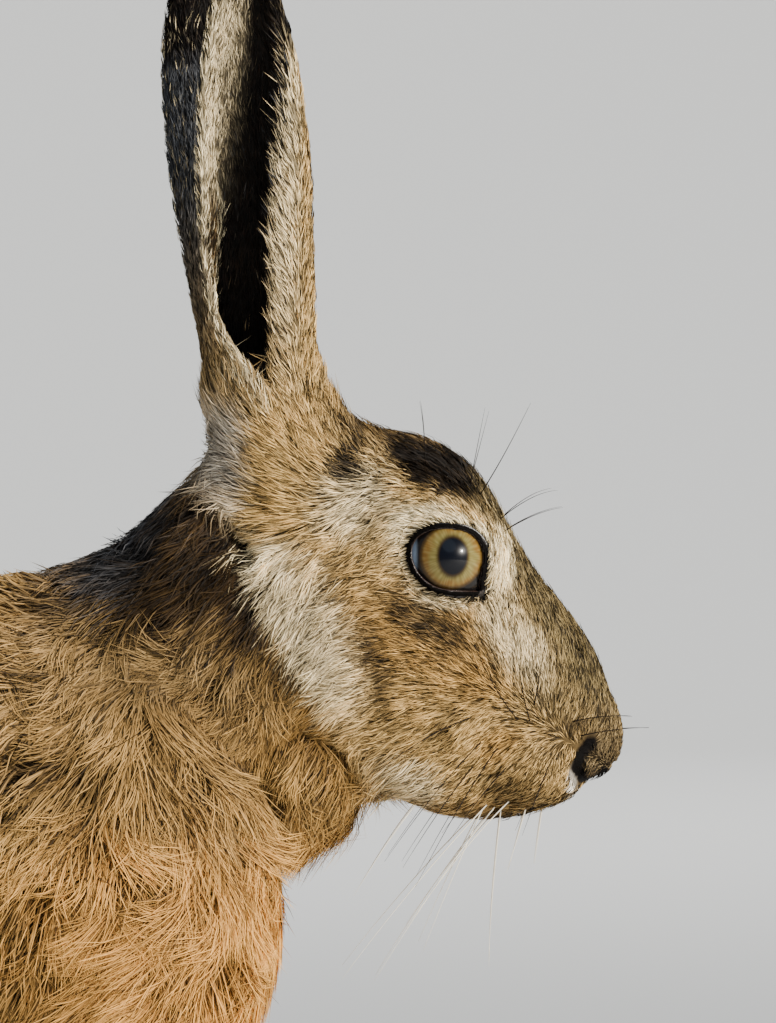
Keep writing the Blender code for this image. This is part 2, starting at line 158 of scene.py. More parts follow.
# Grooves between the toes: from and to along X, the heights there, each groove's Y, and its bore.
TOE_GROOVES = {
    "fore": ((130, 151), (18.5, 11), (23.8, 28.8, 33.8), 2),
    "hind": ((-44, -7), (22, 12), (48, 53, 58), 2.2),
}
TOE_BOX = (7, 26)            # a groove's reach to each side, and its greatest height
TOE_GROOVE_EDGE = 2          # how round its edge is
WIDEST, HALVINGS = 70, 22    # the search for the coat's outline across the hare

# The coat. Each place: centre, reach, then the coat's depth, a hair's length and width, hairs per
# square millimetre, a lock's width, how much its hairs gather, and how far they stand up, in degrees.
COAT = {
    "nose": ((220, 5, 234), 5, (0.5, 1.7, 0.18, 9.5, 1.6, 0.1, 16)),
    "pad": ((204, 14, 231), 8, (1.2, 3.8, 0.2, 7.5, 2.2, 0.25, 16)),
    "snout": ((196, 15, 250), 10, (1.3, 4.8, 0.2, 7, 2.4, 0.25, 12)),
    "bridge": ((206, 0, 262), 10, (1.3, 5, 0.2, 7, 2.4, 0.25, 12)),
    "forehead": ((182, 6, 298), 9, (2, 7, 0.2, 6.8, 2.8, 0.3, 20)),
    "eye": ((181, 26, 280), 8, (0.9, 3, 0.18, 9, 2, 0.2, 10)),
    "cheek": ((172, 26, 256), 10, (2, 7, 0.22, 6, 3, 0.35, 12)),
    "chin": ((190, 4, 221), 9, (1.8, 5.5, 0.22, 5.5, 2.8, 0.3, 14)),
    "jowl": ((148, 28, 262), 11, (3.2, 10, 0.25, 5, 3.8, 0.45, 14)),
    "crown": ((154, 6, 314), 9, (2.2, 8.5, 0.21, 6, 3.2, 0.4, 24)),
    "ear_root": ((142, 18, 308), 9, (1.8, 7, 0.22, 6, 2.8, 0.3, 10)),
    "neck_top": ((118, 24, 280), 9, (2.6, 13, 0.21, 3.6, 4.5, 0.4, 12)),
    "throat_fold": ((137, 32, 222), 7, (1.2, 17, 0.2, 3.2, 4.5, 0.5, 22)),
    "throat_fold_low": ((141, 29, 206), 7, (1.2, 17, 0.2, 3.2, 4.5, 0.5, 22)),
    "throat_fold_top": ((139, 29, 238), 6, (1.2, 14, 0.2, 3.8, 4.5, 0.4, 18)),
    "ear_seat": ((128, 14, 324), 6, (1, 9, 0.22, 6, 3, 0.3, 18)),
    "ruff_edge": ((128, 25, 272), 8, (2.6, 14, 0.24, 5, 4.5, 0.35, 16)),
    "ruff_fold": ((138, 29, 246), 7, (3, 15, 0.24, 5, 4.5, 0.35, 16)),
    "jaw_edge": ((158, 19, 231), 7, (2.4, 12, 0.24, 5, 4.5, 0.35, 16)),
    "neck": ((108, 32, 256), 17, (6.5, 18, 0.22, 2.7, 5.5, 0.5, 14)),
    "nape": ((112, 0, 292), 15, (5, 15, 0.22, 2.9, 4.5, 0.4, 14)),
    "throat": ((152, 16, 216), 10, (5, 20, 0.19, 3.6, 4.5, 0.55, 24)),
    "chest": ((118, 30, 200), 26, (9, 25, 0.2, 2.6, 6.5, 0.55, 20)),
    "breast": ((132, 0, 150), 22, (8, 22, 0.28, 1.9, 8, 0.5, 14)),
    "shoulder": ((84, 54, 176), 24, (7, 20, 0.28, 1.9, 6.5, 0.45, 12)),
    "back": ((10, 0, 236), 50, (4.5, 15, 0.5, 0.88, 5.5, 0.28, 8)),
    "side": ((0, 52, 160), 50, (5, 15, 0.5, 0.84, 5.5, 0.28, 8)),
    "rump": ((-130, 0, 140), 50, (4.5, 15, 0.5, 0.88, 5.5, 0.28, 8)),
    "haunch": ((-84, 75, 92), 45, (3.8, 13, 0.5, 0.9, 5, 0.26, 8)),
    "belly": ((-10, 0, 100), 35, (5.5, 16, 0.65, 0.6, 7, 0.4, 10)),
    "upper_arm": ((100, 32, 130), 18, (4, 12, 0.38, 1.3, 5, 0.35, 8)),
    "foreleg": ((108, 29, 70), 20, (1.8, 7, 0.42, 1.5, 3.2, 0.22, 6)),
    "forepaw": ((128, 29, 12), 14, (1.4, 5, 0.36, 2.2, 3, 0.22, 8)),
    "shank": ((-80, 60, 50), 26, (2.4, 9, 0.46, 1.15, 4.5, 0.26, 7)),
    "hindfoot": ((-70, 52, 12), 40, (1.5, 6, 0.44, 1.3, 3.2, 0.22, 7)),
    "tail": ((-190, 0, 40), 22, (6, 18, 0.7, 1.1, 7, 0.5, 16)),
}
EAR_COAT = {
    "outer": (0.7, 4.2, 0.22, 4.3, 2.4, 0.25, 10),
    "inner": (0.6, 4.4, 0.21, 4.3, 2.4, 0.25, 8),
}
EAR_JOIN = (316, 330)        # heights between which the head's coat gives way to the ears'
HOLLOW_EDGE = (1.3, 2.3)     # depths in the ear's leaf between which its outside gives way to its hollow

# The lie of the coat, seen from the side: a place (x, z), its reach, and the way the hair runs there,
# in degrees up from straight forward.
LIE = {
    "bridge": ((204, 260), 8, 97), "bridge_top": ((199, 279), 8, 115), "brow": ((190, 294), 7, 138),
    "forehead": ((175, 306), 8, 165), "crown": ((162, 312), 7, 172), "ear_front": ((153, 312), 6, 112),
    "over_eye": ((181, 293), 5, 160), "behind_eye": ((166, 285), 7, 212), "before_eye": ((194, 284), 5, 107),
    "under_eye_front": ((192, 269), 7, 118), "under_eye": ((182, 260), 8, 155),
    "cheek": ((169, 258), 8, 185), "cheek_low": ((158, 245), 9, 200), "jaw": ((177, 226), 8, 205),
    "chin": ((194, 219), 6, 200), "pad_back": ((189, 233), 7, 215), "jowl": ((140, 264), 10, 238),
    "jowl_top": ((130, 280), 7, 226), "ear_side": ((138, 300), 7, 150), "ear_back": ((132, 312), 7, 118),
    "ear_low": ((131, 289), 5, 190),
    "neck": ((115, 268), 14, 248), "nape": ((118, 298), 9, 237), "nape_low": ((100, 279), 14, 215),
    "chest": ((121, 220), 22, 268), "throat": ((153, 221), 11, 232), "chest_front": ((143, 196), 16, 258),
    "breast": ((125, 150), 26, 265), "withers": ((50, 262), 34, 188), "shoulder": ((85, 180), 26, 250),
    "flank": ((20, 170), 44, 205), "back": ((-50, 226), 44, 200), "rump": ((-140, 150), 44, 232),
    "haunch": ((-84, 90), 40, 215), "knee": ((-24, 78), 20, 256), "belly": ((0, 92), 30, 195),
    "foreleg": ((108, 80), 24, 270),
    "forepaw": ((132, 12), 16, -15), "hindfoot": ((-70, 12), 34, 0), "tail": ((-192, 40), 22, 205),
}
WHORL = (205.4, 236.4)       # the hair of the whisker pad spreads from here
WHORL_REACH, WHORL_PUSH = 10.5, 1.6
EAR_LIE = (312, 322)         # heights between which the head's lie gives way to the ears'

CLAW_RADIUS, CLAW_HEIGHT = 1.5, 6.5
CLAW_RINGS, CLAW_SIDES = 12, 12
CLAW_ROOT, CLAW_TIP, CLAW_ARCH = (-4.2, 0, 1.6), (4.3, 0, -2.4), (0.6, 0, 1.6)
CLAW_NARROW = 0.8            # a claw's width over its height
FORE_CLAWS = ((147, 21.5), (150, 26.2), (150, 31.4), (147, 36.2))
HIND_CLAWS = ((-9.4, 45.6), (-6.4, 50.4), (-6.4, 55.6), (-9.4, 60.4))

def blend(a, b, width):
    """The union of two distances, with a fillet about as wide as width."""
    if width <= 0:
        return np.minimum(a, b)
    near = np.maximum(width - np.abs(a - b), 0) / width
    return np.minimum(a, b) - near * near * width / 4


def trim(a, b, width):
    """What is inside both, with a rounded edge."""
    return -blend(-a, -b, width)


def mass_distance(p, centre, half_sizes, pitch):
    angle = math.radians(pitch)
    axes = np.array([
        [math.cos(angle), 0, -math.sin(angle)],
        [0, 1, 0],
        [math.sin(angle), 0, math.cos(angle)],
    ])
    q = (p - np.array(centre, float)) @ axes
    r = np.array(half_sizes, float)
    share = np.maximum(np.linalg.norm(q / r, axis=1), 1e-6)
    slope = np.maximum(np.linalg.norm(q / (r * r), axis=1), 1e-6 / r.min())
    return share * (share - 1) / slope


def limb_distance(p, points, radii):
    limb = np.full(len(p), FAR)
    for start, end, r0, r1 in zip(points, points[1:], radii, radii[1:]):
        a, b = np.array(start, float), np.array(end, float)
        t = np.clip((p - a) @ (b - a) / ((b - a) @ (b - a)), 0, 1)
        from_axis = np.linalg.norm(p - a - t[:, None] * (b - a), axis=1)
        limb = blend(limb, from_axis - (r0 + (r1 - r0) * t), LIMB_JOINT_BLEND * min(r0, r1) / JOINT_RADIUS)
    return limb


def ear_place(p, side_name):
    """Each point in the ear's own frame: height over the notch, forward of the axis, and outward."""
    lean, splay = math.radians(EAR_LEAN[side_name]), math.radians(EAR_SPLAY)
    up = np.array(Vector((-math.sin(lean), math.sin(splay), math.cos(lean))).normalized())
    fore = np.array([1.0, 0, 0])
    fore -= up * (fore @ up)
    fore /= np.linalg.norm(fore)
    q = p * np.array([1, SIDES[side_name], 1]) - np.array(EAR_NOTCH)
    return q @ up, q @ fore, q @ np.cross(up, fore)


def ear_leaf(height, fore, out):
    """Where points of the ear's frame are on its leaf: the share of the ear's length, how far outside the
    leaf, the radius there, and the angles of the point and of the leaf's front and back margins."""
    t = np.clip(height / EAR_LENGTH, EAR_SHARES[0], 1.0)
    foot = np.interp(t, (EAR_SHARES[0], 0, EAR_WIDEST), FOOT_SHARES)
    taper = np.sqrt(np.maximum(1 - ((t - EAR_WIDEST) / (EAR_END - EAR_WIDEST)) ** 2, 0))
    half_width = np.maximum(EAR_HALF_WIDTH * np.where(t < EAR_WIDEST, foot, taper), EAR_LEAST_HALF)
    depth = np.minimum(np.interp(t, EAR_SHARES, EAR_DEPTHS), half_width)
    from_axis = np.hypot(fore, out)
    share = np.hypot(fore / half_width, out / depth)
    radius = np.where(from_axis < 1e-6, depth, from_axis / np.maximum(share, 1e-6))
    angle = np.degrees(np.arctan2(fore / half_width, out / depth))
    front, back = (np.interp(t, MARGIN_SHARES, margin) for margin in (FRONT_MARGIN, BACK_MARGIN))
    return t, from_axis - radius, radius, angle, front, back


def ear_distance(p, side_name):
    height, fore, out = ear_place(p, side_name)
    _, outside, radius, angle, front, back = ear_leaf(height, fore, out)
    leaf = np.abs(outside + EAR_WALL / 2) - EAR_WALL / 2
    from_margin = (front - back) / 2 - np.abs(angle - (front + back) / 2)
    opening = np.radians(from_margin) * np.maximum(radius, 3)
    opening = np.where(height < 0, np.minimum(opening, height), opening)
    rolled = np.maximum(trim(leaf, opening, EAR_EDGE_ROUND), height - EAR_LENGTH)
    filled = np.maximum(outside + EAR_WALL * 0.5, height + 2)
    return np.maximum(blend(rolled, filled, EAR_FOOT_BLEND), -height - EAR_ROOT)


def folded(p):
    """Points with their left side laid on their right, for shapes that come in pairs."""
    return np.stack([p[:, 0], np.abs(p[:, 1]), p[:, 2]], axis=1)


def hare_distance(p):
    """How far each point is outside the hare's coat, in millimetres."""
    pair = folded(p)
    head, body = np.full((2, len(p)), FAR)
    for centre, half_sizes, pitch, width in HEAD_MASSES.values():
        head = blend(head, mass_distance(pair, centre, half_sizes, pitch), width)
    for centre, half_sizes, pitch, width in BODY_MASSES.values():
        body = blend(body, mass_distance(pair, centre, half_sizes, pitch), width)
    for points, radii, width in LIMBS.values():
        body = blend(body, limb_distance(pair, points, radii), width)
    hare = blend(head, body, HEAD_BLEND)
    for side_name in SIDES:
        hare = blend(hare, ear_distance(p, side_name), EAR_BLEND)
    return hare


def read_between(values, fine, coarse, axis):
    """Values known at the coarse places along an axis, read off at the fine places."""
    at = np.clip(np.searchsorted(coarse, fine) - 1, 0, len(coarse) - 2)
    shape = [1, 1, 1]
    shape[axis] = -1
    share = ((fine - coarse[at]) / (coarse[at + 1] - coarse[at])).reshape(shape)
    return np.take(values, at, axis) * (1 - share) + np.take(values, at + 1, axis) * share


def cell_points(grid):
    """One point in each grid cell that the surface passes through, at the mean of its crossings."""
    cells = tuple(n - 1 for n in grid.shape)
    total = np.zeros(cells + (3,))
    crossings = np.zeros(cells)
    for axis in range(3):
        v0 = np.delete(grid, -1, axis)
        v1 = np.delete(grid, 0, axis)
        crossed = np.argwhere((v0 < 0) != (v1 < 0))
        a, b = v0[tuple(crossed.T)], v1[tuple(crossed.T)]
        point = crossed.astype(float)
        point[:, axis] += a / (a - b)
        for du in (0, 1):
            for dv in (0, 1):
                cell = crossed - np.insert([du, dv], axis, 0)
                kept = ((cell >= 0) & (cell < cells)).all(axis=1)
                np.add.at(total, tuple(cell[kept].T), point[kept])
                np.add.at(crossings, tuple(cell[kept].T), 1)
    used = crossings > 0
    index = np.full(cells, -1)
    index[used] = np.arange(used.sum())
    return total[used] / crossings[used][:, None], index


def cell_quads(grid, index):
    """One quad round each grid edge that the surface crosses, facing out."""
    inside = grid < 0
    quads = []
    for axis in range(3):
        inner = [slice(1, -1)] * 3
        inner[axis] = slice(None)
        core = inside[tuple(inner)]
        v0, v1 = np.delete(core, -1, axis), np.delete(core, 0, axis)
        u, v = np.eye(3, dtype=int)[(axis + 1) % 3], np.eye(3, dtype=int)[(axis + 2) % 3]
        for outward in (True, False):
            edge = np.argwhere((v0 == outward) & (v1 != outward)) + u + v
            ring = [index[tuple((edge - offset).T)] for offset in (u + v, v, 0 * u, u)]
            quads.append(np.stack(ring if outward else ring[::-1], axis=1))
    return np.concatenate(quads)




def smooth(value, low, high):
    """0 below low and 1 above high, with a soft step between."""
    t = np.clip((value - low) / (high - low), 0, 1)
    return t * t * (3 - 2 * t)


def fade(value, low, high):
    return 1 - smooth(value, low, high)


def shares(p, centres, reaches):
    """How much each of the named places counts at each point. The shares add up to 1."""
    far = np.empty((len(p), len(centres)), np.float32)
    for number, (centre, reach) in enumerate(zip(centres, reaches)):
        far[:, number] = ((p - centre) ** 2).sum(axis=1) / (2 * reach * reach)
    far -= far.min(axis=1, keepdims=True)
    weight = np.exp(-far)
    return weight / weight.sum(axis=1, keepdims=True)


def ear_surface(p):
    """Places on the nearer ear: the share of its length, how far in from its outer side, and how far round
    the leaf from its back edge and from its front edge."""
    left = p[:, 1] > 0
    place = (np.where(left, a, b) for a, b in zip(ear_place(p, "left"), ear_place(p, "right")))
    t, outside, radius, angle, front, back = ear_leaf(*place)
    return t, -outside, np.radians((back - angle) % 360) * radius, np.radians((angle - front) % 360) * radius


def coat_values(p):
    """The coat's depth, a hair's length, width, count, lock width, gathering and lift at each point."""
    centres, reaches, rows = zip(*COAT.values())
    values = shares(folded(p).astype(np.float32), centres, reaches) @ np.array(rows, np.float32)
    ear = smooth(p[:, 2], *EAR_JOIN)
    on_ear = np.flatnonzero(ear > 0)
    t, inward, from_back, from_front = ear_surface(p[on_ear])
    inside = smooth(inward, *HOLLOW_EDGE)[:, None]
    ears = np.array(EAR_COAT["outer"]) * (1 - inside) + np.array(EAR_COAT["inner"]) * inside
    fringe = fade(from_front, 1.5, 6) * fade(t, 0.7, 0.95)
    tuft = fade(t, 0.12, 0.3) * fade(from_back, 5, 10) * inside[:, 0]
    ears[:, 1] += fringe * 4.5 + tuft * 3.0
    ears[:, 6] += fringe * 14 + tuft * 2
    values[on_ear] += (ears - values[on_ear]) * ear[on_ear, None]
    return values


def from_line(places, line):
    """How far places in the side view are from an open line."""
    line = np.array(line)
    start, along = line[:-1], np.diff(line, axis=0)
    t = np.clip(((places[:, None] - start) * along).sum(2) / (along * along).sum(1), 0, 1)
    return np.linalg.norm(places[:, None] - start - t[..., None] * along, axis=2).min(axis=1)


def from_outline(x, z, outline):
    """How far places in the side view are outside a closed outline."""
    line = np.concatenate([outline, outline[:1]])
    nearest = from_line(np.stack([x, z], axis=1), line)
    (x0, z0), (dx, dz) = line[:-1].T, np.diff(line, axis=0).T
    above = (z0 > z[:, None]) != (line[1:, 1] > z[:, None])
    crossing = x0 + (z[:, None] - z0) * dx / np.where(dz == 0, 1e-9, dz)
    inside = (above & (x[:, None] < crossing)).sum(axis=1) % 2 == 1
    return np.where(inside, -nearest, nearest)


def closed_curve(points, count):
    """A smooth closed curve through a few points."""
    points = np.array(points, float)
    places = np.arange(count) * len(points) / count
    at = places.astype(int)
    t = (places - at)[:, None]
    p0, p1, p2, p3 = (points[(at + k) % len(points)] for k in (-1, 0, 1, 2))
    return 0.5 * (2 * p1 + (p2 - p0) * t + (2 * p0 - 5 * p1 + 4 * p2 - p3) * t ** 2
                  + (3 * p1 - p0 - 3 * p2 + p3) * t ** 3)


def side_y(x, z):
    """How far out from the middle the outline of the coat is, at places in the side view."""
    x, z = np.broadcast_arrays(np.asarray(x, float), np.asarray(z, float))
    low, high = np.zeros(x.shape), np.full(x.shape, WIDEST)
    for _ in range(HALVINGS):
        middle = (low + high) / 2
        inside = hare_distance(np.stack([x, -middle, z], axis=-1).reshape(-1, 3)).reshape(x.shape) < 0
        low, high = np.where(inside, middle, low), np.where(inside, high, middle)
    return low


LID_CURVE = closed_curve(LID_OPENING, LID_SAMPLES)
LID_LINE = np.concatenate([LID_CURVE[::6], LID_CURVE[:1]]) + np.array(BALL)[[0, 2]]


def under_outline(line, sunk):
    """A line seen from the side, laid under the outline of the coat."""
    x, z = np.array(line).T
    return np.stack([x, np.maximum(side_y(x, z) - sunk, 0), z], axis=1)


def groove(skin, pair, near, points, bore, width):
    """Cuts a round groove along a line of points into the skin, at the places near it."""
    cut = limb_distance(pair[near], points, [bore] * len(points))
    skin[near] = -blend(-skin[near], cut, width)


def skin_distance(p):
    """How far each point is outside the skin, which lies under the coat and has its lids and folds."""
    p = p.astype(np.float32)
    skin = hare_distance(p) + coat_values(p)[:, 0]
    pair = folded(p)

    near = (np.abs(pair - BALL) < LID_BOX).all(axis=1)
    q = pair[near] - BALL
    from_ball = np.linalg.norm(q, axis=1)
    beyond = from_outline(q[:, 0], q[:, 2], LID_CURVE)
    lid = from_ball - (BALL_RADIUS + LID_THICKNESS)
    share = fade(beyond, 0.5, LID_REACH) * smooth(q[:, 1], -2.0, 2.5)
    face = skin[near] * (1 - share) + lid * share
    face = np.where(q[:, 1] > 0, np.maximum(face, -beyond), face)
    skin[near] = np.maximum(face, BALL_RADIUS + 0.1 - from_ball)

    for line, sunk, bore, width in GROOVES:
        points = under_outline(line, sunk)
        reach = np.ptp(points, axis=0) / 2 + GROOVE_MARGIN
        groove(skin, pair, (np.abs(pair - points.mean(axis=0)) < reach).all(axis=1), points, bore, width)
    for (back, front), (back_z, front_z), places, bore in TOE_GROOVES.values():
        for y in places:
            near = (pair[:, 2] < TOE_BOX[1]) & (np.abs(pair[:, 1] - y) < TOE_BOX[0])
            groove(skin, pair, near, ((back, y, back_z), (front, y, front_z)), bore, TOE_GROOVE_EDGE)
    return skin


def axis_places(stretches):
    """The grid's places along one axis."""
    places = [np.linspace(a, b, max(round((b - a) / step), 1), endpoint=False) for a, b, step in stretches]
    return np.concatenate(places + [[stretches[-1][1]]])



def sample(distance, axes):
    """Distances on the grid: exact near the surface, and read off a coarser grid elsewhere."""
    coarse = [places[sorted({*range(0, len(places), COARSE), len(places) - 1})] for places in axes]
    points = np.stack(np.meshgrid(*coarse, indexing="ij"), axis=-1)
    grid = distance(points.reshape(-1, 3)).reshape(points.shape[:3]).astype(np.float32)
    for axis in range(3):
        grid = read_between(grid, axes[axis], coarse[axis], axis).astype(np.float32)
    spans = [np.interp(places, few[:-1], np.diff(few)) for places, few in zip(axes, coarse)]
    reach = np.maximum(np.maximum(spans[0][:, None, None], spans[1][None, :, None]), spans[2][None, None])
    near = np.nonzero(np.abs(grid) < reach * NEAR_SHARE + NEAR_MARGIN)
    grid[near] = distance(np.stack([axes[axis][near[axis]] for axis in range(3)], axis=1))
    return grid


def read_field(p):
    """The distance from the skin at each point, and how it grows along X, Y and Z."""
    at, share, span = [], [], []
    for axis, places in enumerate(AXES):
        cell = np.clip(np.searchsorted(places, p[:, axis], side="right") - 1, 0, len(places) - 2)
        width = places[cell + 1] - places[cell]
        at.append(cell)
        share.append(np.clip((p[:, axis] - places[cell]) / width, 0, 1))
        span.append(width)
    corner = {(i, j, k): SKIN_GRID[at[0] + i, at[1] + j, at[2] + k] for i, j, k in CORNERS}
    u, v, w = share
    x_edges = {(j, k): corner[0, j, k] * (1 - u) + corner[1, j, k] * u for j in (0, 1) for k in (0, 1)}
    low, high = (x_edges[0, k] * (1 - v) + x_edges[1, k] * v for k in (0, 1))
    value = low * (1 - w) + high * w
    along_x = sum((corner[1, j, k] - corner[0, j, k]) * (v if j else 1 - v) * (w if k else 1 - w)
                  for j in (0, 1) for k in (0, 1))
    along_y = sum((x_edges[1, k] - x_edges[0, k]) * (w if k else 1 - w) for k in (0, 1))
    slope = np.stack([along_x / span[0], along_y / span[1], (high - low) / span[2]], axis=1)
    return value, slope


def unit(v):
    return v / np.maximum(np.linalg.norm(v, axis=1, keepdims=True), 1e-9)


x_places, half_y, z_places = (axis_places(places) for places in (X_STRETCHES, HALF_Y_STRETCHES, Z_STRETCHES))
AXES = (x_places, np.concatenate([-half_y[:0:-1], half_y]), z_places)
SKIN_GRID = sample(skin_distance, AXES)

# The form frame's own place in the scene, from the middle of one eye.
eye_low, eye_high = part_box("eye_right")
SHIFT = np.array((eye_low + eye_high) / 2) / MM - np.array((EYE[0], -EYE[1], EYE[2]))


def add_object(name, data):
    obj = bpy.data.objects.new(name, data)
    bpy.context.scene.collection.objects.link(obj)
    return obj


def add_mesh(name, vertices, faces, material):
    """A new object from vertices in the form frame and faces, all of one size."""
    vertices = (np.asarray(vertices) + SHIFT) * MM
    faces = np.asarray(faces)
    mesh = bpy.data.meshes.new(name)
    mesh.vertices.add(len(vertices))
    mesh.vertices.foreach_set("co", vertices.astype(np.float32).ravel())
    mesh.loops.add(faces.size)
    mesh.loops.foreach_set("vertex_index", faces.astype(np.int32).ravel())
    mesh.polygons.add(len(faces))
    mesh.polygons.foreach_set("loop_start", np.arange(0, faces.size, faces.shape[1], dtype=np.int32))
    mesh.polygons.foreach_set("use_smooth", np.full(len(faces), True))
    mesh.update(calc_edges=True)
    mesh.materials.append(material)
    return add_object(name, mesh)


def set_colours(mesh, colours):
    rgba = np.ones((len(colours), 4), np.float32)
    rgba[:, :3] = colours
    mesh.color_attributes.new("colour", "FLOAT_COLOR", "POINT").data.foreach_set("color", rgba.ravel())

# Kinds of hair: colour at the root, in the band and at the tip, and the share of dark-tipped hairs.
HAIR = {
    "ticked": ((0.32, 0.26, 0.17), (0.77, 0.64, 0.42), (0.71, 0.57, 0.35), 0.34),
    "bridge": ((0.14, 0.12, 0.08), (0.47, 0.41, 0.28), (0.44, 0.385, 0.26), 0.62),
    "pad": ((0.24, 0.19, 0.12), (0.7, 0.575, 0.37), (0.64, 0.52, 0.32), 0.42),
    "rufous": ((0.26, 0.2, 0.11), (0.69, 0.53, 0.29), (0.62, 0.46, 0.24), 0.42),
    "buff": ((0.36, 0.29, 0.18), (0.79, 0.65, 0.41), (0.73, 0.58, 0.35), 0.28),
    "grey_white": ((0.42, 0.37, 0.28), (0.88, 0.8, 0.64), (0.86, 0.78, 0.6), 0.2),
    "cream": ((0.66, 0.58, 0.44), (0.96, 0.89, 0.72), (0.95, 0.86, 0.68), 0.02),
    "white": ((0.72, 0.68, 0.62), (0.93, 0.9, 0.85), (0.94, 0.92, 0.88), 0),
    "pale_grey": ((0.45, 0.42, 0.39), (0.7, 0.68, 0.64), (0.72, 0.69, 0.64), 0.08),
    # grey_with_painted_shade: the grey of the ears' backs, darkened and cooled as painted shade
    "grey_with_painted_shade": ((0.14, 0.14, 0.145), (0.27, 0.275, 0.285), (0.3, 0.305, 0.32), 0.15),
    "nose": ((0.16, 0.13, 0.1), (0.42, 0.36, 0.26), (0.46, 0.4, 0.29), 0.25),
    "bare": ((0.07, 0.05, 0.045), (0.06, 0.045, 0.04), (0.06, 0.045, 0.04), 0),
    "black": ((0.13, 0.1, 0.08), (0.11, 0.08, 0.06), (0.09, 0.07, 0.05), 0.8),
    "dark_ticked": ((0.11, 0.085, 0.06), (0.4, 0.325, 0.215), (0.36, 0.285, 0.18), 0.72),
    # dark_brown is also used as painted shade: on the neck under the head, behind the ruff, in the nose's
    # crease and under the nose.
    "dark_brown": ((0.055, 0.04, 0.03), (0.13, 0.095, 0.055), (0.13, 0.095, 0.055), 0.4),
    "grey_brown": ((0.2, 0.155, 0.1), (0.5, 0.4, 0.25), (0.64, 0.52, 0.34), 0.16),
    "golden": ((0.19, 0.14, 0.085), (0.48, 0.365, 0.2), (0.74, 0.585, 0.345), 0.09),
    "orange": ((0.3, 0.2, 0.1), (0.62, 0.43, 0.21), (0.86, 0.64, 0.34), 0.03),
    "grizzled": ((0.3, 0.25, 0.2), (0.66, 0.54, 0.36), (0.34, 0.26, 0.18), 0.4),
}
# The coat's markings on the head, painted one over the other. Each has its kind of hair, its middle in
# the side view, its half sizes, its tilt in degrees, how softly it ends, and its strength.
HEAD_MARKS = {
    "cheek": ("rufous", (173, 258), (21, 16), -25, 0.6, 0.78),
    "jaw": ("buff", (172, 238), (20, 13), -20, 0.6, 0.7),
    "snout_side": ("grey_white", (197, 259.5), (5.5, 14), 32, 0.5, 0.85),
    "snout_top": ("bridge", (208, 271), (36, 9.5), -60, 0.4, 0.92),
    "snout_low": ("ticked", (198, 246), (9, 6), -30, 0.7, 0.6),
    "forehead": ("dark_ticked", (170, 311.5), (21, 8), -17, 0.4, 0.97),
    "temple": ("grey_white", (158, 292), (10.5, 9.5), -20, 0.5, 0.9),
    "ear_side": ("buff", (137, 302), (13, 18), 5, 0.5, 0.95),
    "ear_back": ("pale_grey", (125, 306), (6, 18), 0, 0.6, 0.8),
    "ear_front_patch": ("black", (154.5, 303.5), (3.4, 6.5), 10, 0.5, 0.9),
    "eye_ring_low": ("grey_white", (180.6, 278.6), (13, 10.4), -8, 0.16, 0.9),
    "eye_ring_top": ("cream", (181, 282.6), (14.5, 11.2), -14, 0.16, 0.97),
    "eye_front": ("cream", (192, 281), (3.6, 10), 12, 0.5, 0.9),
    "ring_glow": ("buff", (185, 291.8), (8.5, 2), -28, 0.6, 0.8),
    "brow_stripe": ("black", (178.5, 301.2), (15, 5.6), -21, 0.26, 0.98),
    "brow_front": ("bridge", (193, 292), (9, 3.6), -55, 0.5, 0.9),
    "under_eye": ("dark_ticked", (174.8, 265), (12.5, 3.8), -27, 0.5, 0.88),
    "behind_eye": ("ticked", (164, 281), (5, 8), 0, 0.7, 0.7),
    "cheek_ruff": ("grey_white", (141, 262), (23, 13), -55, 0.45, 0.95),
    "ruff_top": ("cream", (131, 277), (7, 6), -30, 0.6, 0.9),
    "streak_back": ("dark_brown", (153, 274.5), (2, 6), 0, 0.6, 0.55),
    "streak_long": ("dark_brown", (163, 253), (2.4, 15), 12, 0.6, 0.75),
    "streak_mid": ("dark_brown", (150, 252), (2, 9), 15, 0.7, 0.4),
    "streak_low": ("dark_brown", (179.5, 237), (3.2, 3.6), 30, 0.6, 0.6),
    "cheek_glow": ("rufous", (188, 249), (7, 5), -20, 0.7, 0.6),
    "jaw_edge": ("grey_white", (171, 224.5), (8, 5), -20, 0.5, 0.9),
    "pad": ("pad", (204, 232), (13, 11), 0, 0.5, 0.9),
    "pad_glow": ("rufous", (193.5, 234.5), (5, 3.5), 20, 0.7, 0.8),
    "pad_dark": ("dark_brown", (197, 224.5), (9, 3.2), -12, 0.7, 0.55),
    "nose_side": ("bridge", (212, 248), (8, 10), 20, 0.6, 0.5),
    "nose_tip": ("nose", (222, 232), (5.5, 10), 12, 0.5, 0.85),
    # Dark brown in the crease above the nose: painted shade.
    "painted_shade_in_nose_crease": ("dark_brown", (212.2, 239.6), (3.6, 1.7), -20, 0.6, 0.75),
    "chin": ("grey_brown", (192, 217.5), (14, 3), -6, 0.5, 0.8),
    "nostril": ("nose", (217.5, 230), (4, 7), -5, 0.3, 0.9),
    # Dark brown under the nose tip: painted shade.
    "painted_shade_under_nose": ("dark_brown", (218.4, 226.4), (3.8, 2.6), -10, 0.6, 0.85),
    "lip": ("white", (211.6, 225.6), (1.5, 4), -14, 0.4, 1),
}
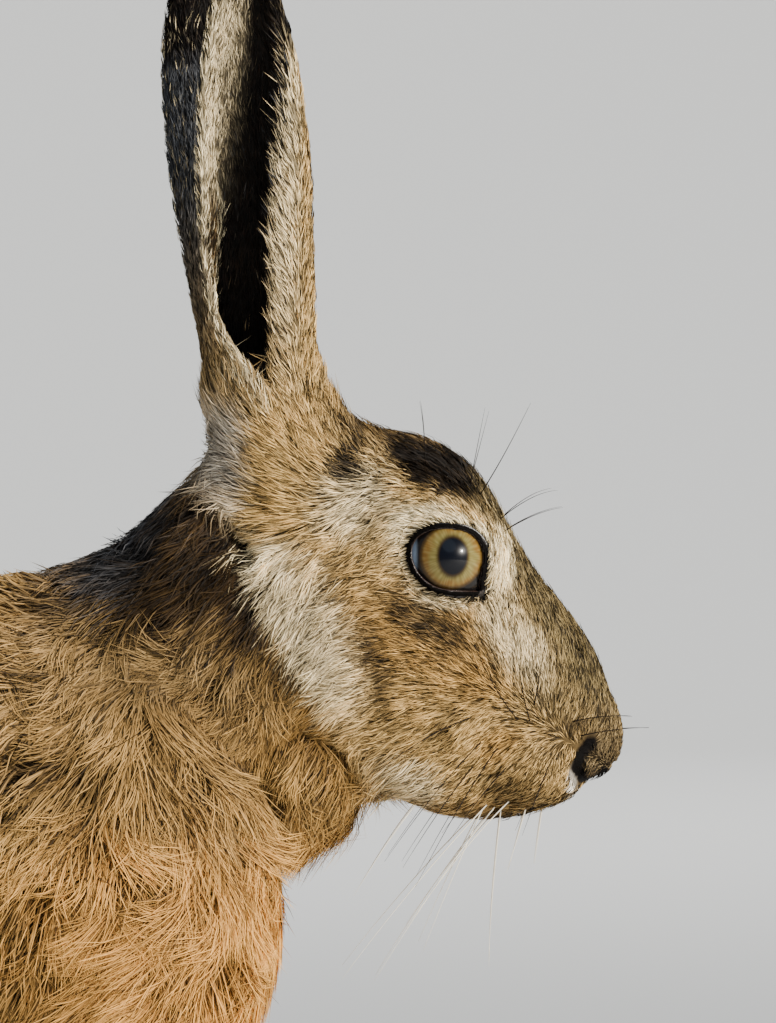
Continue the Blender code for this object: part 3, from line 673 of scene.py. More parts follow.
BODY_MARKS = {
    "back": ("grizzled", (-30, 230), (150, 70), -22, 0.5, 0.95),
    "rump": ("grizzled", (-140, 130), (60, 80), 0, 0.5, 0.9),
    "haunch": ("grey_brown", (-92, 92), (70, 48), 12, 0.6, 0.6),
    "flank": ("rufous", (10, 140), (80, 34), 12, 0.6, 0.7),
    "shoulder": ("golden", (80, 190), (40, 46), 0, 0.6, 0.8),
    # The neck's dark brown is partly the fur's own colour and partly painted shade under the head.
    "neck": ("dark_brown", (112, 270), (26, 27), -50, 0.5, 0.95),
    # The nape's dark grey is painted shade.
    "nape": ("grey_with_painted_shade", (104, 290), (34, 10), 52, 0.6, 0.8),
    "neck_low": ("grey_brown", (104, 250), (26, 10), -14, 0.6, 0.8),
    "ruff_shade": ("dark_brown", (133, 262), (5, 22), 24, 0.6, 0.8),
    "throat": ("golden", (153, 221), (15, 14), -30, 0.6, 0.9),
    "chest_low": ("orange", (118, 184), (46, 22), 0, 0.7, 0.8),
    "breast": ("orange", (125, 150), (34, 30), 0, 0.6, 0.7),
    "foreleg": ("orange", (112, 70), (20, 60), 0, 0.4, 0.8),
    "shank": ("orange", (-60, 40), (90, 22), 0, 0.5, 0.7),
    "hindfoot": ("buff", (-60, 10), (100, 16), 0, 0.4, 0.8),
}
# The bare edges: a line in the side view, how far it is quite bare, where that ends, and its strength. Their
# near-black is painted shade in the nostril and the mouth's groove.
LINES = ((NOSTRIL_LINE, 1.1, 1.8, 1.0), (MOUTH_LINE, 0.6, 1.5, 0.9))
LID_BARE, LID_FOOT = (1.3, 2.3), 262       # the bare rim round the lids, and the height it ends at
HEAD_WANDER, BODY_WANDER = 1.3, 7          # how far a marking's edge strays
NOISE_CELLS = 32
EAR_PAINT = (312, 326)       # heights between which the head's markings give way to the ears'
HEAD_EDGE = (-9, -4)         # across the edge of the cheeks over the neck


def value_noise(p, size, seed):
    """A soft random value from -1 to 1 that changes over about so many millimetres."""
    table = np.random.default_rng(SEED + seed).uniform(-1, 1, [NOISE_CELLS] * 3).astype(np.float32)
    q = p / size
    cell = np.floor(q).astype(int)
    t = q - cell
    t = t * t * (3 - 2 * t)
    total = np.zeros(len(p))
    for steps in CORNERS:
        weight = np.where(steps, t, 1 - t)
        corner = (cell + steps) % NOISE_CELLS
        total += weight[:, 0] * weight[:, 1] * weight[:, 2] * table[tuple(corner.T)]
    return total



def kind_row(name):
    root, band, tip, dark = HAIR[name]
    return np.array([*linear(*root, *band, *tip), dark])


def over_edge(p):
    """How far each point is forward of the edge of the cheeks over the neck."""
    return (p[:, 0] - 144) * 0.88 + (p[:, 2] - 263) * 0.48


def lay(state, name, weight):
    """Turns the hair towards a kind, as far as the weight of each point says."""
    state += (kind_row(name) - state) * np.clip(weight, 0, 1)[:, None]


def add_marks(state, p, marks):
    for name, middle, half_sizes, tilt, softness, strength in marks.values():
        angle = math.radians(tilt)
        dx, dz = p[:, 0] - middle[0], p[:, 2] - middle[1]
        along = (dx * math.cos(angle) + dz * math.sin(angle)) / half_sizes[0]
        across = (dz * math.cos(angle) - dx * math.sin(angle)) / half_sizes[1]
        lay(state, name, strength * fade(np.hypot(along, across), 1 - softness, 1 + softness))


def paint(p, normal):
    """The hair's three colours, in linear light, and the share of dark tips at each point."""
    stray = np.stack([value_noise(p, 7.0, seed) for seed in (1, 2, 3)], axis=1)
    fine = np.stack([value_noise(p, 2.6, seed) for seed in (4, 5, 6)], axis=1)
    head = smooth(over_edge(p), *HEAD_EDGE)
    q = p + (stray + fine * 0.5) * (HEAD_WANDER * head + BODY_WANDER * (1 - head))[:, None]
    state = np.tile(kind_row("golden"), (len(p), 1))
    add_marks(state, q, BODY_MARKS)
    x, z, up = q[:, 0], q[:, 2], normal[:, 2]
    lay(state, "white", smooth(-up, 0.25, 0.75) * fade(z, 100, 160) * smooth(z, 20, 40))
    tail = fade(x, -178, -164)
    lay(state, "white", tail * fade(z, 60, 80))
    lay(state, "black", tail * smooth(up, 0.1, 0.5) * fade(z, 62, 84) * 0.92)

    on_head = head > 0
    heads = np.tile(kind_row("ticked"), (on_head.sum(), 1))
    add_marks(heads, q[on_head], HEAD_MARKS)
    near = p[on_head]
    # Near-black along the nostril and the mouth line: painted shade in their grooves.
    for line, inner, outer, strength in LINES:
        lay(heads, "bare", fade(from_line(near[:, [0, 2]], line), inner, outer) * strength)
    lids = from_outline(near[:, 0] - BALL[0], near[:, 2] - BALL[2], LID_CURVE[::3])
    lay(heads, "bare", fade(lids, *LID_BARE) * (near[:, 2] > LID_FOOT))
    state[on_head] += (heads - state[on_head]) * head[on_head, None]

    ear = smooth(p[:, 2], *EAR_PAINT)
    on_ear = np.flatnonzero(ear > 0)
    state[on_ear] += (paint_ears(p[on_ear]) - state[on_ear]) * ear[on_ear, None]
    return state


def paint_ears(p):
    """The ears: grey behind, darkened there as painted shade, ticked in front, black at the tips, black in
    the hollow as painted shade, and with a cream back edge.
    """
    t, inward, from_back, from_front = ear_surface(p)
    inside = smooth(inward, 1.2, 2.2)
    outside = 1 - inside
    blotch = smooth(value_noise(p, 9.0, 61), 0.1, 0.7)

    # The backs of the ears start grey, darkened as painted shade.
    state = np.tile(kind_row("grey_with_painted_shade"), (len(p), 1))
    for name, weight in (
        ("ticked", outside * fade(from_front + 12 * np.clip(t, 0, 1), 18, 24)),
        ("cream", outside * fade(from_front, 3, 10) * 0.7),
        ("ticked", outside * fade(t, -0.05, 0.5) * 0.55),
        ("buff", fade(t, -0.05, 0.2) * 0.6),
        ("black", outside * smooth(t, 0.72, 0.80)),
        # Black over the ear's hollow: painted shade.
        ("black", inside),
        ("dark_brown", inside * blotch * 0.5),
        ("dark_ticked", inside * fade(from_back, 7.5, 9.0) * fade(t, 0.40, 0.55)),
        ("grey_white", inside * fade(from_back, 6.5, 12.5) * smooth(t, 0.36, 0.52) * 0.95),
        ("cream", inside * fade(np.abs(from_back - 8.6), 0.3, 0.9) * fade(t, 0.38, 0.5) * 0.9),
        ("grey_white", inside * fade(t, 0.10, 0.26) * fade(from_back, 6, 10)),
        ("cream", inside * fade(from_back, 1.7, 3.0)),
        ("cream", outside * fade(from_back, 1.0, 2.2)),
        ("black", smooth(t, 0.84, 0.92)),
    ):
        lay(state, name, weight)
    return state



def principled(name, roughness):
    """A new material, its node tree and its shader."""
    material = bpy.data.materials.new(name)
    material.use_nodes = True
    tree = material.node_tree
    shader = tree.nodes["Principled BSDF"]
    shader.inputs["Roughness"].default_value = roughness
    return material, tree, shader


# Each finish: roughness, specular level, the size of its noise, how far that changes the painted colour,
# and how high it stands as a bump.
FINISHES = {
    "coat": (0.62, 0.14, 1.5, 0.14, 0),
    "skin": (0.72, 0.08, 0.6, 0.2, 0.25),
    "lid": (0.34, 0.5, 0.5, 0.25, 0.12),
    "claw": (0.38, 0.5, 0.8, 0.25, 0.08),
    "eye": (0.3, 0.15, 0.5, 0.06, 0),
}
EYE_GLOSS = {"Coat Weight": 1.0, "Coat Roughness": 0.015, "Coat IOR": 1.22}


def painted_material(name, roughness, specular, size, change, bump_height):
    """A finish in the painted colour, a little lighter and darker from place to place."""
    material, tree, shader = principled("hare_" + name, roughness)
    shader.inputs["Specular IOR Level"].default_value = specular
    kinds = ("Attribute", "TexCoord", "TexNoise", "MapRange", "VectorMath")
    painted, where, noise, level, scaled = (tree.nodes.new("ShaderNode" + kind) for kind in kinds)
    painted.attribute_name = "colour"
    noise.inputs["Scale"].default_value = 1 / (size * MM)
    noise.inputs["Detail"].default_value = 4
    level.inputs["To Min"].default_value = 1 - change
    level.inputs["To Max"].default_value = 1 + change
    scaled.operation = "SCALE"
    links = [
        (where, "Object", noise, "Vector"), (noise, "Fac", level, "Value"), (painted, "Color", scaled, 0),
        (level, "Result", scaled, "Scale"), (scaled, "Vector", shader, "Base Color"),
    ]
    if bump_height:
        bump = tree.nodes.new("ShaderNodeBump")
        bump.inputs["Distance"].default_value = bump_height * MM
        links += [(noise, "Fac", bump, "Height"), (bump, "Normal", shader, "Normal")]
    for source, output, target, socket in links:
        tree.links.new(source.outputs[output], target.inputs[socket])
    for socket, value in EYE_GLOSS.items() if name == "eye" else ():
        shader.inputs[socket].default_value = value
    return material


MATERIALS = {name: painted_material(name, *finish) for name, finish in FINISHES.items()}


def linear(*rgb):
    return np.array(rgb) ** 2.2


def mix(a, b, share):
    return a + (b - a) * np.asarray(share)[..., None]


def settle(obj, slot, *replaced):
    """Makes a piece ride on the one body, in place of CAD nodes. The slot is not used."""
    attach(obj, "root")
    if replaced:
        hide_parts(*replaced)
    return obj


SOLE_HEIGHT = 0.1            # the soles are flat, and stand this far above the floor
SKIN_ROOT, SKIN_BAND = 0.30, 0.15      # how much of a hair's colours at its root and band the skin has; kept low, so the skin between the hairs is darker, as painted shade


def make_skin():
    points, index = cell_points(SKIN_GRID)
    vertices = np.stack([
        np.interp(points[:, axis], np.arange(len(places)), places) for axis, places in enumerate(AXES)
    ], axis=1)
    vertices[:, 2] = np.maximum(vertices[:, 2], SOLE_HEIGHT)
    faces = cell_quads(SKIN_GRID, index)
    skin = add_mesh("hare_skin", vertices, faces, MATERIALS["skin"])
    normals = np.zeros(len(vertices) * 3, np.float32)
    skin.data.vertices.foreach_get("normal", normals)
    normals = normals.reshape(-1, 3)
    colours = paint(vertices, normals)
    # The skin is painted darker than the hair: painted shade between the hairs.
    set_colours(skin.data, colours[:, 0:3] * SKIN_ROOT + colours[:, 3:6] * SKIN_BAND)
    flesh = [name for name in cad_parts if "eye" not in name and "claw" not in name]
    settle(skin, "skin", *flesh)
    return vertices, normals, faces


def eye_axes(side):
    """The way an eye looks, and the ways ahead and up across it."""
    forward, up = math.radians(GAZE_FORWARD), math.radians(GAZE_UP)
    axis = np.array([math.sin(forward), side * math.cos(forward) * math.cos(up), math.sin(up)])
    ahead = unit((np.array([1.0, 0, 0]) - axis * axis[0])[None])[0]
    return axis, ahead, np.cross(axis, ahead) * -side


def eye_colours(q, side):
    """The eyeball's colours, from directions out of its middle: white, iris and pupil, the pupil tinted blue
    as a painted sky reflection.
    """
    axis, ahead, above = eye_axes(side)
    u, v, depth = q @ ahead, q @ above, q @ axis
    across = np.hypot(u, v)
    angle = np.arctan2(v, u)
    streaks = np.sin(angle * 46 + 3 * np.sin(angle * 7)) * 0.5 + 0.5
    streaks = streaks * 0.6 + 0.4 * (np.sin(angle * 17 + across * 2.2) * 0.5 + 0.5)
    blotch = value_noise(q + 50, 2.2, 21) * 0.5 + 0.5
    olive, amber, deep = linear(0.46, 0.42, 0.24), linear(0.46, 0.32, 0.14), linear(0.20, 0.15, 0.08)
    colours = mix(np.tile(olive, (len(q), 1)), amber, smooth(across + blotch * 3.0, 6.2, 8.4) * 0.75)
    colours = mix(colours, linear(0.56, 0.52, 0.34), smooth(streaks, 0.45, 1.0) * 0.35)
    colours = mix(colours, deep, smooth(0.62 - streaks, 0.0, 0.6) * 0.22)
    colours = mix(colours, deep, smooth(across, CORNEA_RADIUS - 1.0, CORNEA_RADIUS - 0.1) * 0.9)
    in_pupil = np.hypot(u / PUPIL_HALF_WIDTH, v / PUPIL_HALF_HEIGHT)
    colours = mix(colours, deep * 0.7, fade(in_pupil, 1.0, 1.35))
    # The pupil is black tinted blue: the blue is a painted sky reflection.
    colours = mix(colours, linear(0.02, 0.04, 0.08), fade(in_pupil, 0.94, 1.03))
    white = mix(np.tile(linear(0.10, 0.09, 0.09), (len(q), 1)), linear(0.56, 0.62, 0.70),
                smooth(-u, CORNEA_RADIUS + 0.2, CORNEA_RADIUS + 1.4))
    return mix(colours, white, smooth(across, CORNEA_RADIUS - 0.1, CORNEA_RADIUS + 0.35) + (depth < 0))


def make_eye(name, side):
    """An eyeball with a raised cornea, fine enough to carry its painted iris."""
    rings, around, last_tilt = 96, 160, 112.0
    tilt = np.radians(np.linspace(0.0, last_tilt, rings + 1)[1:])
    turn = np.linspace(0, 2 * math.pi, around, endpoint=False)
    axis, ahead, above = eye_axes(side)
    in_cornea = fade(np.sin(tilt) * BALL_RADIUS, 0.0, CORNEA_RADIUS + 0.6) * (np.cos(tilt) > 0)
    radius = BALL_RADIUS + CORNEA_RISE * in_cornea
    ring = (ahead * np.cos(turn)[:, None] + above * np.sin(turn)[:, None])
    points = (radius * np.sin(tilt))[:, None, None] * ring + (radius * np.cos(tilt))[:, None, None] * axis
    points = np.concatenate([(axis * (BALL_RADIUS + CORNEA_RISE))[None], points.reshape(-1, 3)])
    faces = ring_faces(rings, around, 1)
    at = np.arange(around)
    cap = np.stack([0 * at, 1 + at, 1 + (at + 1) % around], axis=1)
    triangles = np.concatenate([faces[:, [0, 1, 2]], faces[:, [0, 2, 3]], cap])
    if side > 0:
        triangles = triangles[:, ::-1]
    centre = np.array([BALL[0], side * BALL[1], BALL[2]])
    eye = add_mesh("ball_of_" + name, centre + points, triangles, MATERIALS["eye"])
    set_colours(eye.data, eye_colours(points, side))
    return settle(eye, "eye", name)


def ring_faces(rings, around, first):
    """Quads between rings of points, each ring closed on itself."""
    ring = np.arange(rings - 1)[:, None] * around
    at, after = np.arange(around), (np.arange(around) + 1) % around
    quads = np.stack([ring + at, ring + around + at, ring + around + after, ring + after], axis=-1)
    return quads.reshape(-1, 4) + first


# The section of a lid's rim: how far out from the opening, and how high over the ball.
RIM = ((1.2, 0.1), (0.4, -0.2), (-0.25, -0.15), (-0.40, 0.12), (-0.28, 0.48), (0.05, 0.78), (0.35, 0.86),
       (0.55, 0.80), (0.75, 0.98), (1.0, 1.02), (1.2, 0.80), (1.35, 0.4))


def make_lid(name, side):
    """The dark, bare rim of the eyelids, which lies on the eyeball all round the opening."""
    u, v = LID_CURVE.T
    flat = np.minimum(np.hypot(u, v), BALL_RADIUS * 0.93)
    scale = flat / np.hypot(u, v)
    out = np.sqrt(BALL_RADIUS ** 2 - flat ** 2)
    base = np.stack([u, out - (1 - scale) * 6, v], axis=1)
    normal = unit(np.stack([u * scale, out, v * scale], axis=1))
    along = unit(np.roll(base, -1, axis=0) - np.roll(base, 1, axis=0))
    away = unit(np.cross(along, normal))
    away *= np.sign((away * (base - base.mean(axis=0))).sum(axis=1))[:, None]
    where = np.linspace(0, 2 * math.pi, LID_SAMPLES, endpoint=False)
    swell = 1 + 0.10 * np.sin(where * 3 + 1) + 0.06 * np.sin(where * 11)
    points = np.concatenate([
        base + away * (reach * swell)[:, None] + normal * (height * swell)[:, None] for reach, height in RIM
    ])
    closed = ring_faces(len(RIM) + 1, LID_SAMPLES, 0) % len(points)
    if side > 0:
        closed = closed[:, ::-1]
    lid = add_mesh(name, (points + BALL) * (1, side, 1), closed, MATERIALS["lid"])
    height = np.repeat([height for _, height in RIM], LID_SAMPLES)
    dark = np.tile(linear(0.20, 0.15, 0.13), (len(points), 1))
    set_colours(lid.data, mix(dark, linear(0.085, 0.07, 0.065), smooth(height, 0.2, 1.0)))
    return settle(lid, "skin")



def tapered(points, radii, sides):
    """The skin of a round tapering rod along a line of points, closed at both ends."""
    points, radii = np.asarray(points, float), np.asarray(radii, float)
    along = unit(np.gradient(points, axis=0))
    start = np.array([0.0, 1, 0]) if abs(along[0][1]) < 0.8 else np.array([1.0, 0, 0])
    across = unit(start - along * (along @ start)[:, None])
    other = np.cross(along, across)
    turn = np.linspace(0, 2 * math.pi, sides, endpoint=False)
    ring = across[:, None] * np.cos(turn)[:, None] + other[:, None] * np.sin(turn)[:, None]
    vertices = (points[:, None] + ring * radii[:, None, None]).reshape(-1, 3)
    quads = ring_faces(len(points), sides, 0)
    triangles = np.concatenate([quads[:, [0, 2, 1]], quads[:, [0, 3, 2]]])
    ends = []
    last = (len(points) - 1) * sides
    for k in range(1, sides - 1):
        ends += [(0, k + 1, k), (last, last + k, last + k + 1)]
    return vertices, np.concatenate([triangles, ends])


def joined(shapes):
    """Several meshes as one list of vertices and one of faces."""
    vertices, faces, count = [], [], 0
    for shape_vertices, shape_faces in shapes:
        vertices.append(shape_vertices)
        faces.append(shape_faces + count)
        count += len(shape_vertices)
    return np.concatenate(vertices), np.concatenate(faces)


def bent(root, middle, tip, count):
    """Points along a curve that leaves the root towards the middle and ends at the tip."""
    t = np.linspace(0, 1, count)[:, None]
    return (1 - t) ** 2 * np.array(root) + 2 * t * (1 - t) * np.array(middle) + t ** 2 * np.array(tip)


# Whiskers, seen from the side: root (x, z), tip (x, z), how far out the tip is, and the bow of the hair.
WHITE_WHISKERS = (
    ((191, 219.5), (155.6, 177.8), 34, 4), ((193, 219), (163.6, 177.4), 30, 5),
    ((190, 218.5), (175.4, 184.5), 27, 4), ((194.5, 218.5), (191.4, 180.6), 25, -6),
    ((173.5, 219.5), (158.6, 198), 33, 3), ((196.5, 220.5), (171, 190), 38, 5),
    ((200.5, 218.5), (195.6, 203), 21, -2), ((204.5, 218.2), (202.6, 205.5), 18, -1),
)
BLACK_WHISKERS = (
    ((189.5, 235), (166, 206.5), 40, 4), ((187.5, 229), (170.5, 205), 36, 3),
    ((193.5, 233.5), (173.5, 200.5), 42, 5), ((198.5, 240.5), (186.6, 262), 27, -3),
    ((201.5, 240), (198.2, 257.5), 27, -2), ((202.5, 244), (205, 259.5), 22, 2),
    ((196, 229), (181.5, 211), 31, 3), ((212, 240), (226, 241.5), 19, 1),
    ((214, 236.5), (230.5, 238.6), 17, 1), ((206, 229), (199.5, 212.5), 24, 2),
    ((187, 241), (158, 223), 46, 5),
)
BROW_HAIRS = (
    ((189.5, 295.5), (201.6, 317.6), 21, -3), ((187, 298), (190.5, 316.5), 22, -2),
    ((194.5, 289.5), (208.2, 296.4), 19, 3), ((195.5, 286.5), (209.5, 292.2), 20, 2),
    ((176, 303), (174.6, 318), 17, 2),
)


# Each set of whiskers: its hairs, how thick they are at the root, and their colour.
WHISKERS = {
    "whiskers_white": (WHITE_WHISKERS, 0.17, linear(0.90, 0.87, 0.80)),
    "whiskers_black": (BLACK_WHISKERS, 0.17, linear(0.12, 0.10, 0.09)),
    "brow_hairs": (BROW_HAIRS, 0.13, linear(0.12, 0.10, 0.09)),
}
WHISKER_RINGS, WHISKER_SIDES, WHISKER_TIP = 14, 5, 0.12
HARE_LENGTH = 450
WHISKER_STRAY = {-1: 0.01, 1: 0.8}     # how far the tips stray on the right, as photographed, and the left


def make_whiskers(name, side, hairs, thick, colour, rng):
    shapes = []
    for root, tip, out, bow in hairs:
        y = float(side_y(*root)) - 0.6
        start = np.array([root[0], side * y, root[1]])
        end = np.array([tip[0], side * out, tip[1]]) + rng.normal(0, WHISKER_STRAY[side], 3)
        middle = (start + end) / 2 + np.array([0.25 * bow, side * (abs(bow) * 0.8 + 1), bow])
        radii = thick * np.linspace(1, WHISKER_TIP, WHISKER_RINGS) ** 0.8
        shapes.append(tapered(bent(start, middle, end, WHISKER_RINGS), radii, WHISKER_SIDES))
    vertices, faces = joined(shapes)
    piece = add_mesh(name, vertices, faces, MATERIALS["coat"])
    set_colours(piece.data, np.tile(colour, (len(vertices), 1)))
    add_map(piece.data, (vertices / HARE_LENGTH + 0.5)[faces.ravel()][:, [0, -1]])
    return settle(piece, "coat")


def add_map(mesh, corners):
    """The OFBake map, from a place for each corner of the faces."""
    corners = np.clip(corners, 0.001, 0.999)
    mesh.uv_layers.new(name="OFBake").uv.foreach_set("vector", corners.astype(np.float32).ravel())


def make_claws(name, side, places, nodes):
    """Blunt curved claws, each round on top and worn at its tip."""
    shapes = []
    for x, y in places:
        at = np.array([x, side * y, CLAW_HEIGHT])
        root, tip = at + CLAW_ROOT, at + CLAW_TIP
        middle = (root + tip) / 2 + CLAW_ARCH
        radii = CLAW_RADIUS * np.sqrt(np.clip(1.02 - np.linspace(0, 1, CLAW_RINGS) ** 2.4, 0.05, 1))
        vertices, faces = tapered(bent(root, middle, tip, CLAW_RINGS), radii, CLAW_SIDES)
        vertices[:, 1] = side * y + (vertices[:, 1] - side * y) * CLAW_NARROW
        shapes.append((vertices, faces))
    vertices, faces = joined(shapes)
    piece = add_mesh(name, vertices, faces, MATERIALS["claw"])
    along = smooth(vertices[:, 0], places[0][0] - 2, places[0][0] + 6)
    horn = np.tile(linear(0.30, 0.24, 0.19), (len(vertices), 1))
    set_colours(piece.data, mix(horn, linear(0.13, 0.10, 0.08), along))
    return settle(piece, "claw", *nodes)


def lie_of_coat(p, normal):
    """The way the hair runs at each point, along the skin."""
    places = p[:, [0, 2]]
    centres, reaches, angles = zip(*LIE.values())
    weight = shares(places.astype(np.float32), centres, reaches)
    angles = np.radians(angles)
    way = np.stack([weight @ np.cos(angles), np.zeros(len(p)), weight @ np.sin(angles)], axis=1)
    from_whorl = places - WHORL
    distance = np.linalg.norm(from_whorl, axis=1)
    near = (np.exp(-(distance / WHORL_REACH) ** 2) * smooth(distance, *WHORL_EDGE) * WHORL_PUSH)[:, None]
    way[:, [0, 2]] = unit(way[:, [0, 2]]) + unit(from_whorl) * near
    ear = smooth(p[:, 2], *EAR_LIE)
    way = unit(way)
    for line, reach, push in PARTINGS:
        distance = from_line(places, line)
        ahead = np.stack([from_line(places + step, line) - from_line(places - step, line)
                          for step in np.eye(2) * PARTING_STEP], axis=1) / (2 * PARTING_STEP)
        way[:, [0, 2]] += ahead * (push * np.exp(-(distance / reach) ** 2))[:, None]
    _, inward, _, from_front = ear_surface(p)
    inside = smooth(inward, *HOLLOW_EDGE)
    fringe = fade(from_front, *EAR_FRINGE)
    back = -EAR_BACK - FRINGE_BACK * fringe * (1 - inside)
    ear_way = np.stack([back, np.zeros(len(p)), np.ones(len(p))], axis=1)
    way += (ear_way - way) * ear[:, None]
    way -= normal * (way * normal).sum(axis=1, keepdims=True)
    return unit(way + normal[:, [2, 1, 0]] * 1e-4)


def turned(way, normal, angle):
    """A direction in the skin's plane turned about the normal."""
    return way * np.cos(angle)[:, None] + np.cross(normal, way) * np.sin(angle)[:, None]


def locks(p, size):
    """Groups the roots into locks. Gives each root its lock's number, and the locks' middles."""
    level = 2.0 ** (np.round(np.log2(size) * 2) / 2)
    wander = np.stack([value_noise(p, 5.0, seed) for seed in (31, 32, 33)], axis=1) * LOCK_WANDER
    cells = np.floor((p + wander) / level[:, None]).astype(np.int64) + MOST_CELLS // 2
    key = (cells[:, 0] * MOST_CELLS + cells[:, 1]) * MOST_CELLS + cells[:, 2]
    key = key * 64 + np.round(level * 4).astype(np.int64)
    number = np.unique(key, return_inverse=True)[1]
    count = np.bincount(number).astype(float)
    middle = np.stack([np.bincount(number, p[:, axis]) / count for axis in range(3)], axis=1)
    return number, middle


def scatter(vertices, normals, corners, weight, count, rng):
    """Roots spread evenly over triangles, by weight: their places and normals."""
    total = np.cumsum(weight)
    pick = np.searchsorted(total, (np.arange(count) + rng.random(count)) / count * total[-1])
    pick = np.minimum(pick, len(corners) - 1)
    a, b = rng.random((2, count))
    flip = a + b > 1
    a, b = np.where(flip, 1 - a, a), np.where(flip, 1 - b, b)
    share = np.stack([1 - a - b, a, b], axis=1)[..., None]
    return (vertices[corners[pick]] * share).sum(axis=1), unit((normals[corners[pick]] * share).sum(axis=1))


def by_shag(name, shag):
    short, more = DISORDER[name]
    return short + more * shag


def comb(root, normal, stations, rng):
    """The tufts' points at each station, and for each tuft its way along the skin, length, width, shag, and
    how high it and its lock lie in the coat."""
    count = len(root)
    depth, length, width, _, lock_size, gather, lift = coat_values(root).T
    number, middle = locks(root, lock_size)
    lock_turn, lock_long, lock_high = rng.normal(0, 1, (3, len(middle)))[:, number]
    way = lie_of_coat(root, normal)
    shag = smooth(length, *SHAG_LENGTHS)
    sway = value_noise(root, 18.0, 41) * by_shag("sway", shag)
    loose = rng.normal(0, 1, count) * by_shag("loose", shag)
    way = turned(way, normal, sway + lock_turn * by_shag("lock_turn", shag) + loose)
    bend = rng.normal(0, 1, count) * by_shag("bend", shag) + lock_turn * LOCK_BEND * shag
    least, by_chance, by_lock = LENGTH_SHARES
    length = length * np.clip(least + by_chance * rng.random(count) + by_lock * lock_long, *LENGTH_LIMITS)
    stray = by_shag("stray", shag) * (rng.random(count) < STRAY_SHARE)
    high = rng.random(count)
    top = by_shag("top", shag) + by_shag("top_hair", shag) * high + by_shag("top_lock", shag) * lock_high
    top = (np.clip(top, *TOP_LIMITS) + stray) * depth
    pull = middle[number] - root
    pull -= normal * (pull * normal).sum(axis=1, keepdims=True)

    points = []
    rise_at = np.tan(np.radians(lift))
    hold = 1.0 - LIFTED_FREE * smooth(lift, *LIFTS) * (root[:, 2] > EAR_JOIN[0]) - SHAG_FREE * shag
    for s in stations:
        point = root + turned(way, normal, bend * s) * (length * s)[:, None]
        point += pull * (gather * s ** GATHER_CURVE)[:, None]
        height = np.minimum(top * (1 - (1 - s) ** ARCH), length * s * rise_at * ARCH + LEAST_HEIGHT)
        point[:, 2] = np.maximum(point[:, 2], FLOOR_GAP)
        for _ in range(2 if s else 0):
            value, slope = read_field(point)
            steep = np.maximum((slope ** 2).sum(axis=1), LEAST_STEEP)
            move = np.clip((height - value) / steep, -MOST_MOVE, MOST_MOVE) * hold
            point = point + slope * move[:, None]
        if not s:
            point = root - normal * ROOT_SUNK
        point[:, 2] = np.maximum(point[:, 2], FLOOR_GAP)
        points.append(point)
    return points, way, length, width, shag, high, lock_high


def ribbons(points, normal, width, stations, rng):
    """Flat tapering ribbons along the tufts: each one's vertices, and the faces of them all."""
    count = len(normal)
    roll = rng.normal(0, ROLL, count)
    foot, swell, taper = WIDTH_SHARES
    rows = []
    for place, s in enumerate(stations):
        before, after = points[max(place - 1, 0)], points[min(place + 1, len(points) - 1)]
        along = unit(after - before)
        flat = unit(np.cross(along, normal))
        side = flat * np.cos(roll)[:, None] + np.cross(along, flat) * np.sin(roll)[:, None]
        half = side * (width * (foot + swell * s - taper * s * s))[:, None]
        rows += [points[place]] if s == 1 else [points[place] - half, points[place] + half]
    per_tuft = len(rows)
    faces = [(2 * k, 2 * k + 1, 2 * k + 3) for k in range(len(stations) - 2)]
    faces += [(2 * k, 2 * k + 3, 2 * k + 2) for k in range(len(stations) - 2)]
    faces += [(per_tuft - 3, per_tuft - 2, per_tuft - 1)]
    faces = (np.arange(count)[:, None, None] * per_tuft + np.array(faces)).reshape(-1, 3)
    return np.stack(rows, axis=1), faces


def tuft_colours(root, normal, stations, rng, way, length, shag, high, lock_high):
    """The colours of the ribbons' vertices, of the markings where each tuft ends, with painted shade at the
    roots and on hairs and locks that lie low in the coat.
    """
    count = len(root)
    ahead = length * (PAINT_AHEAD - EAR_LESS_AHEAD * smooth(root[:, 2], *EAR_LESS_AT))
    strayed = rng.normal(0, 1, (count, 3)) * (length * PAINT_STRAY)[:, None]
    base, band, tip, dark = np.split(paint(root + way * ahead[:, None] + strayed, normal), (3, 6, 9), axis=1)
    # Roots at half their colour: painted shade deep in the coat.
    base, dark = base * ROOT_SHADE, dark[:, 0]
    dark_lock = sum(value_noise(root, size, seed) * share for size, seed, share in DARK_PATCHES)
    is_dark = rng.random(count) < dark * np.clip(1 + dark_lock, 0, 2)
    shade = 1 + SHADE_BY_CHANCE * rng.normal(0, 1, count)
    for size, seed, share in SHADE_PATCHES:
        shade += share * value_noise(root, size, seed)
    # Hairs and locks that lie lower in the coat are painted darker: painted shade.
    shade += by_shag("painted_shade_by_lock", shag) * lock_high + by_shag("painted_shade_by_height", shag) * (high - 0.5)
    shade = np.clip(shade, *SHADE_LIMITS)[:, None]
    tip = np.where(is_dark[:, None], DARK_TIP, tip)
    dark_band = is_dark & (rng.random(count) < DARK_BAND_SHARE)
    band = np.where(dark_band[:, None], band * DARK_BAND, band)
    ramp = []
    for s in stations:
        below, above, rise = (base, band, BAND_RISE) if s < TIP_FROM else (band, tip, TIP_RISE)
        colour = mix(below, above, smooth(s, *rise)) * shade
        ramp += [colour] if s == 1 else [colour] * 2
    return np.stack(ramp, axis=1).reshape(-1, 3)


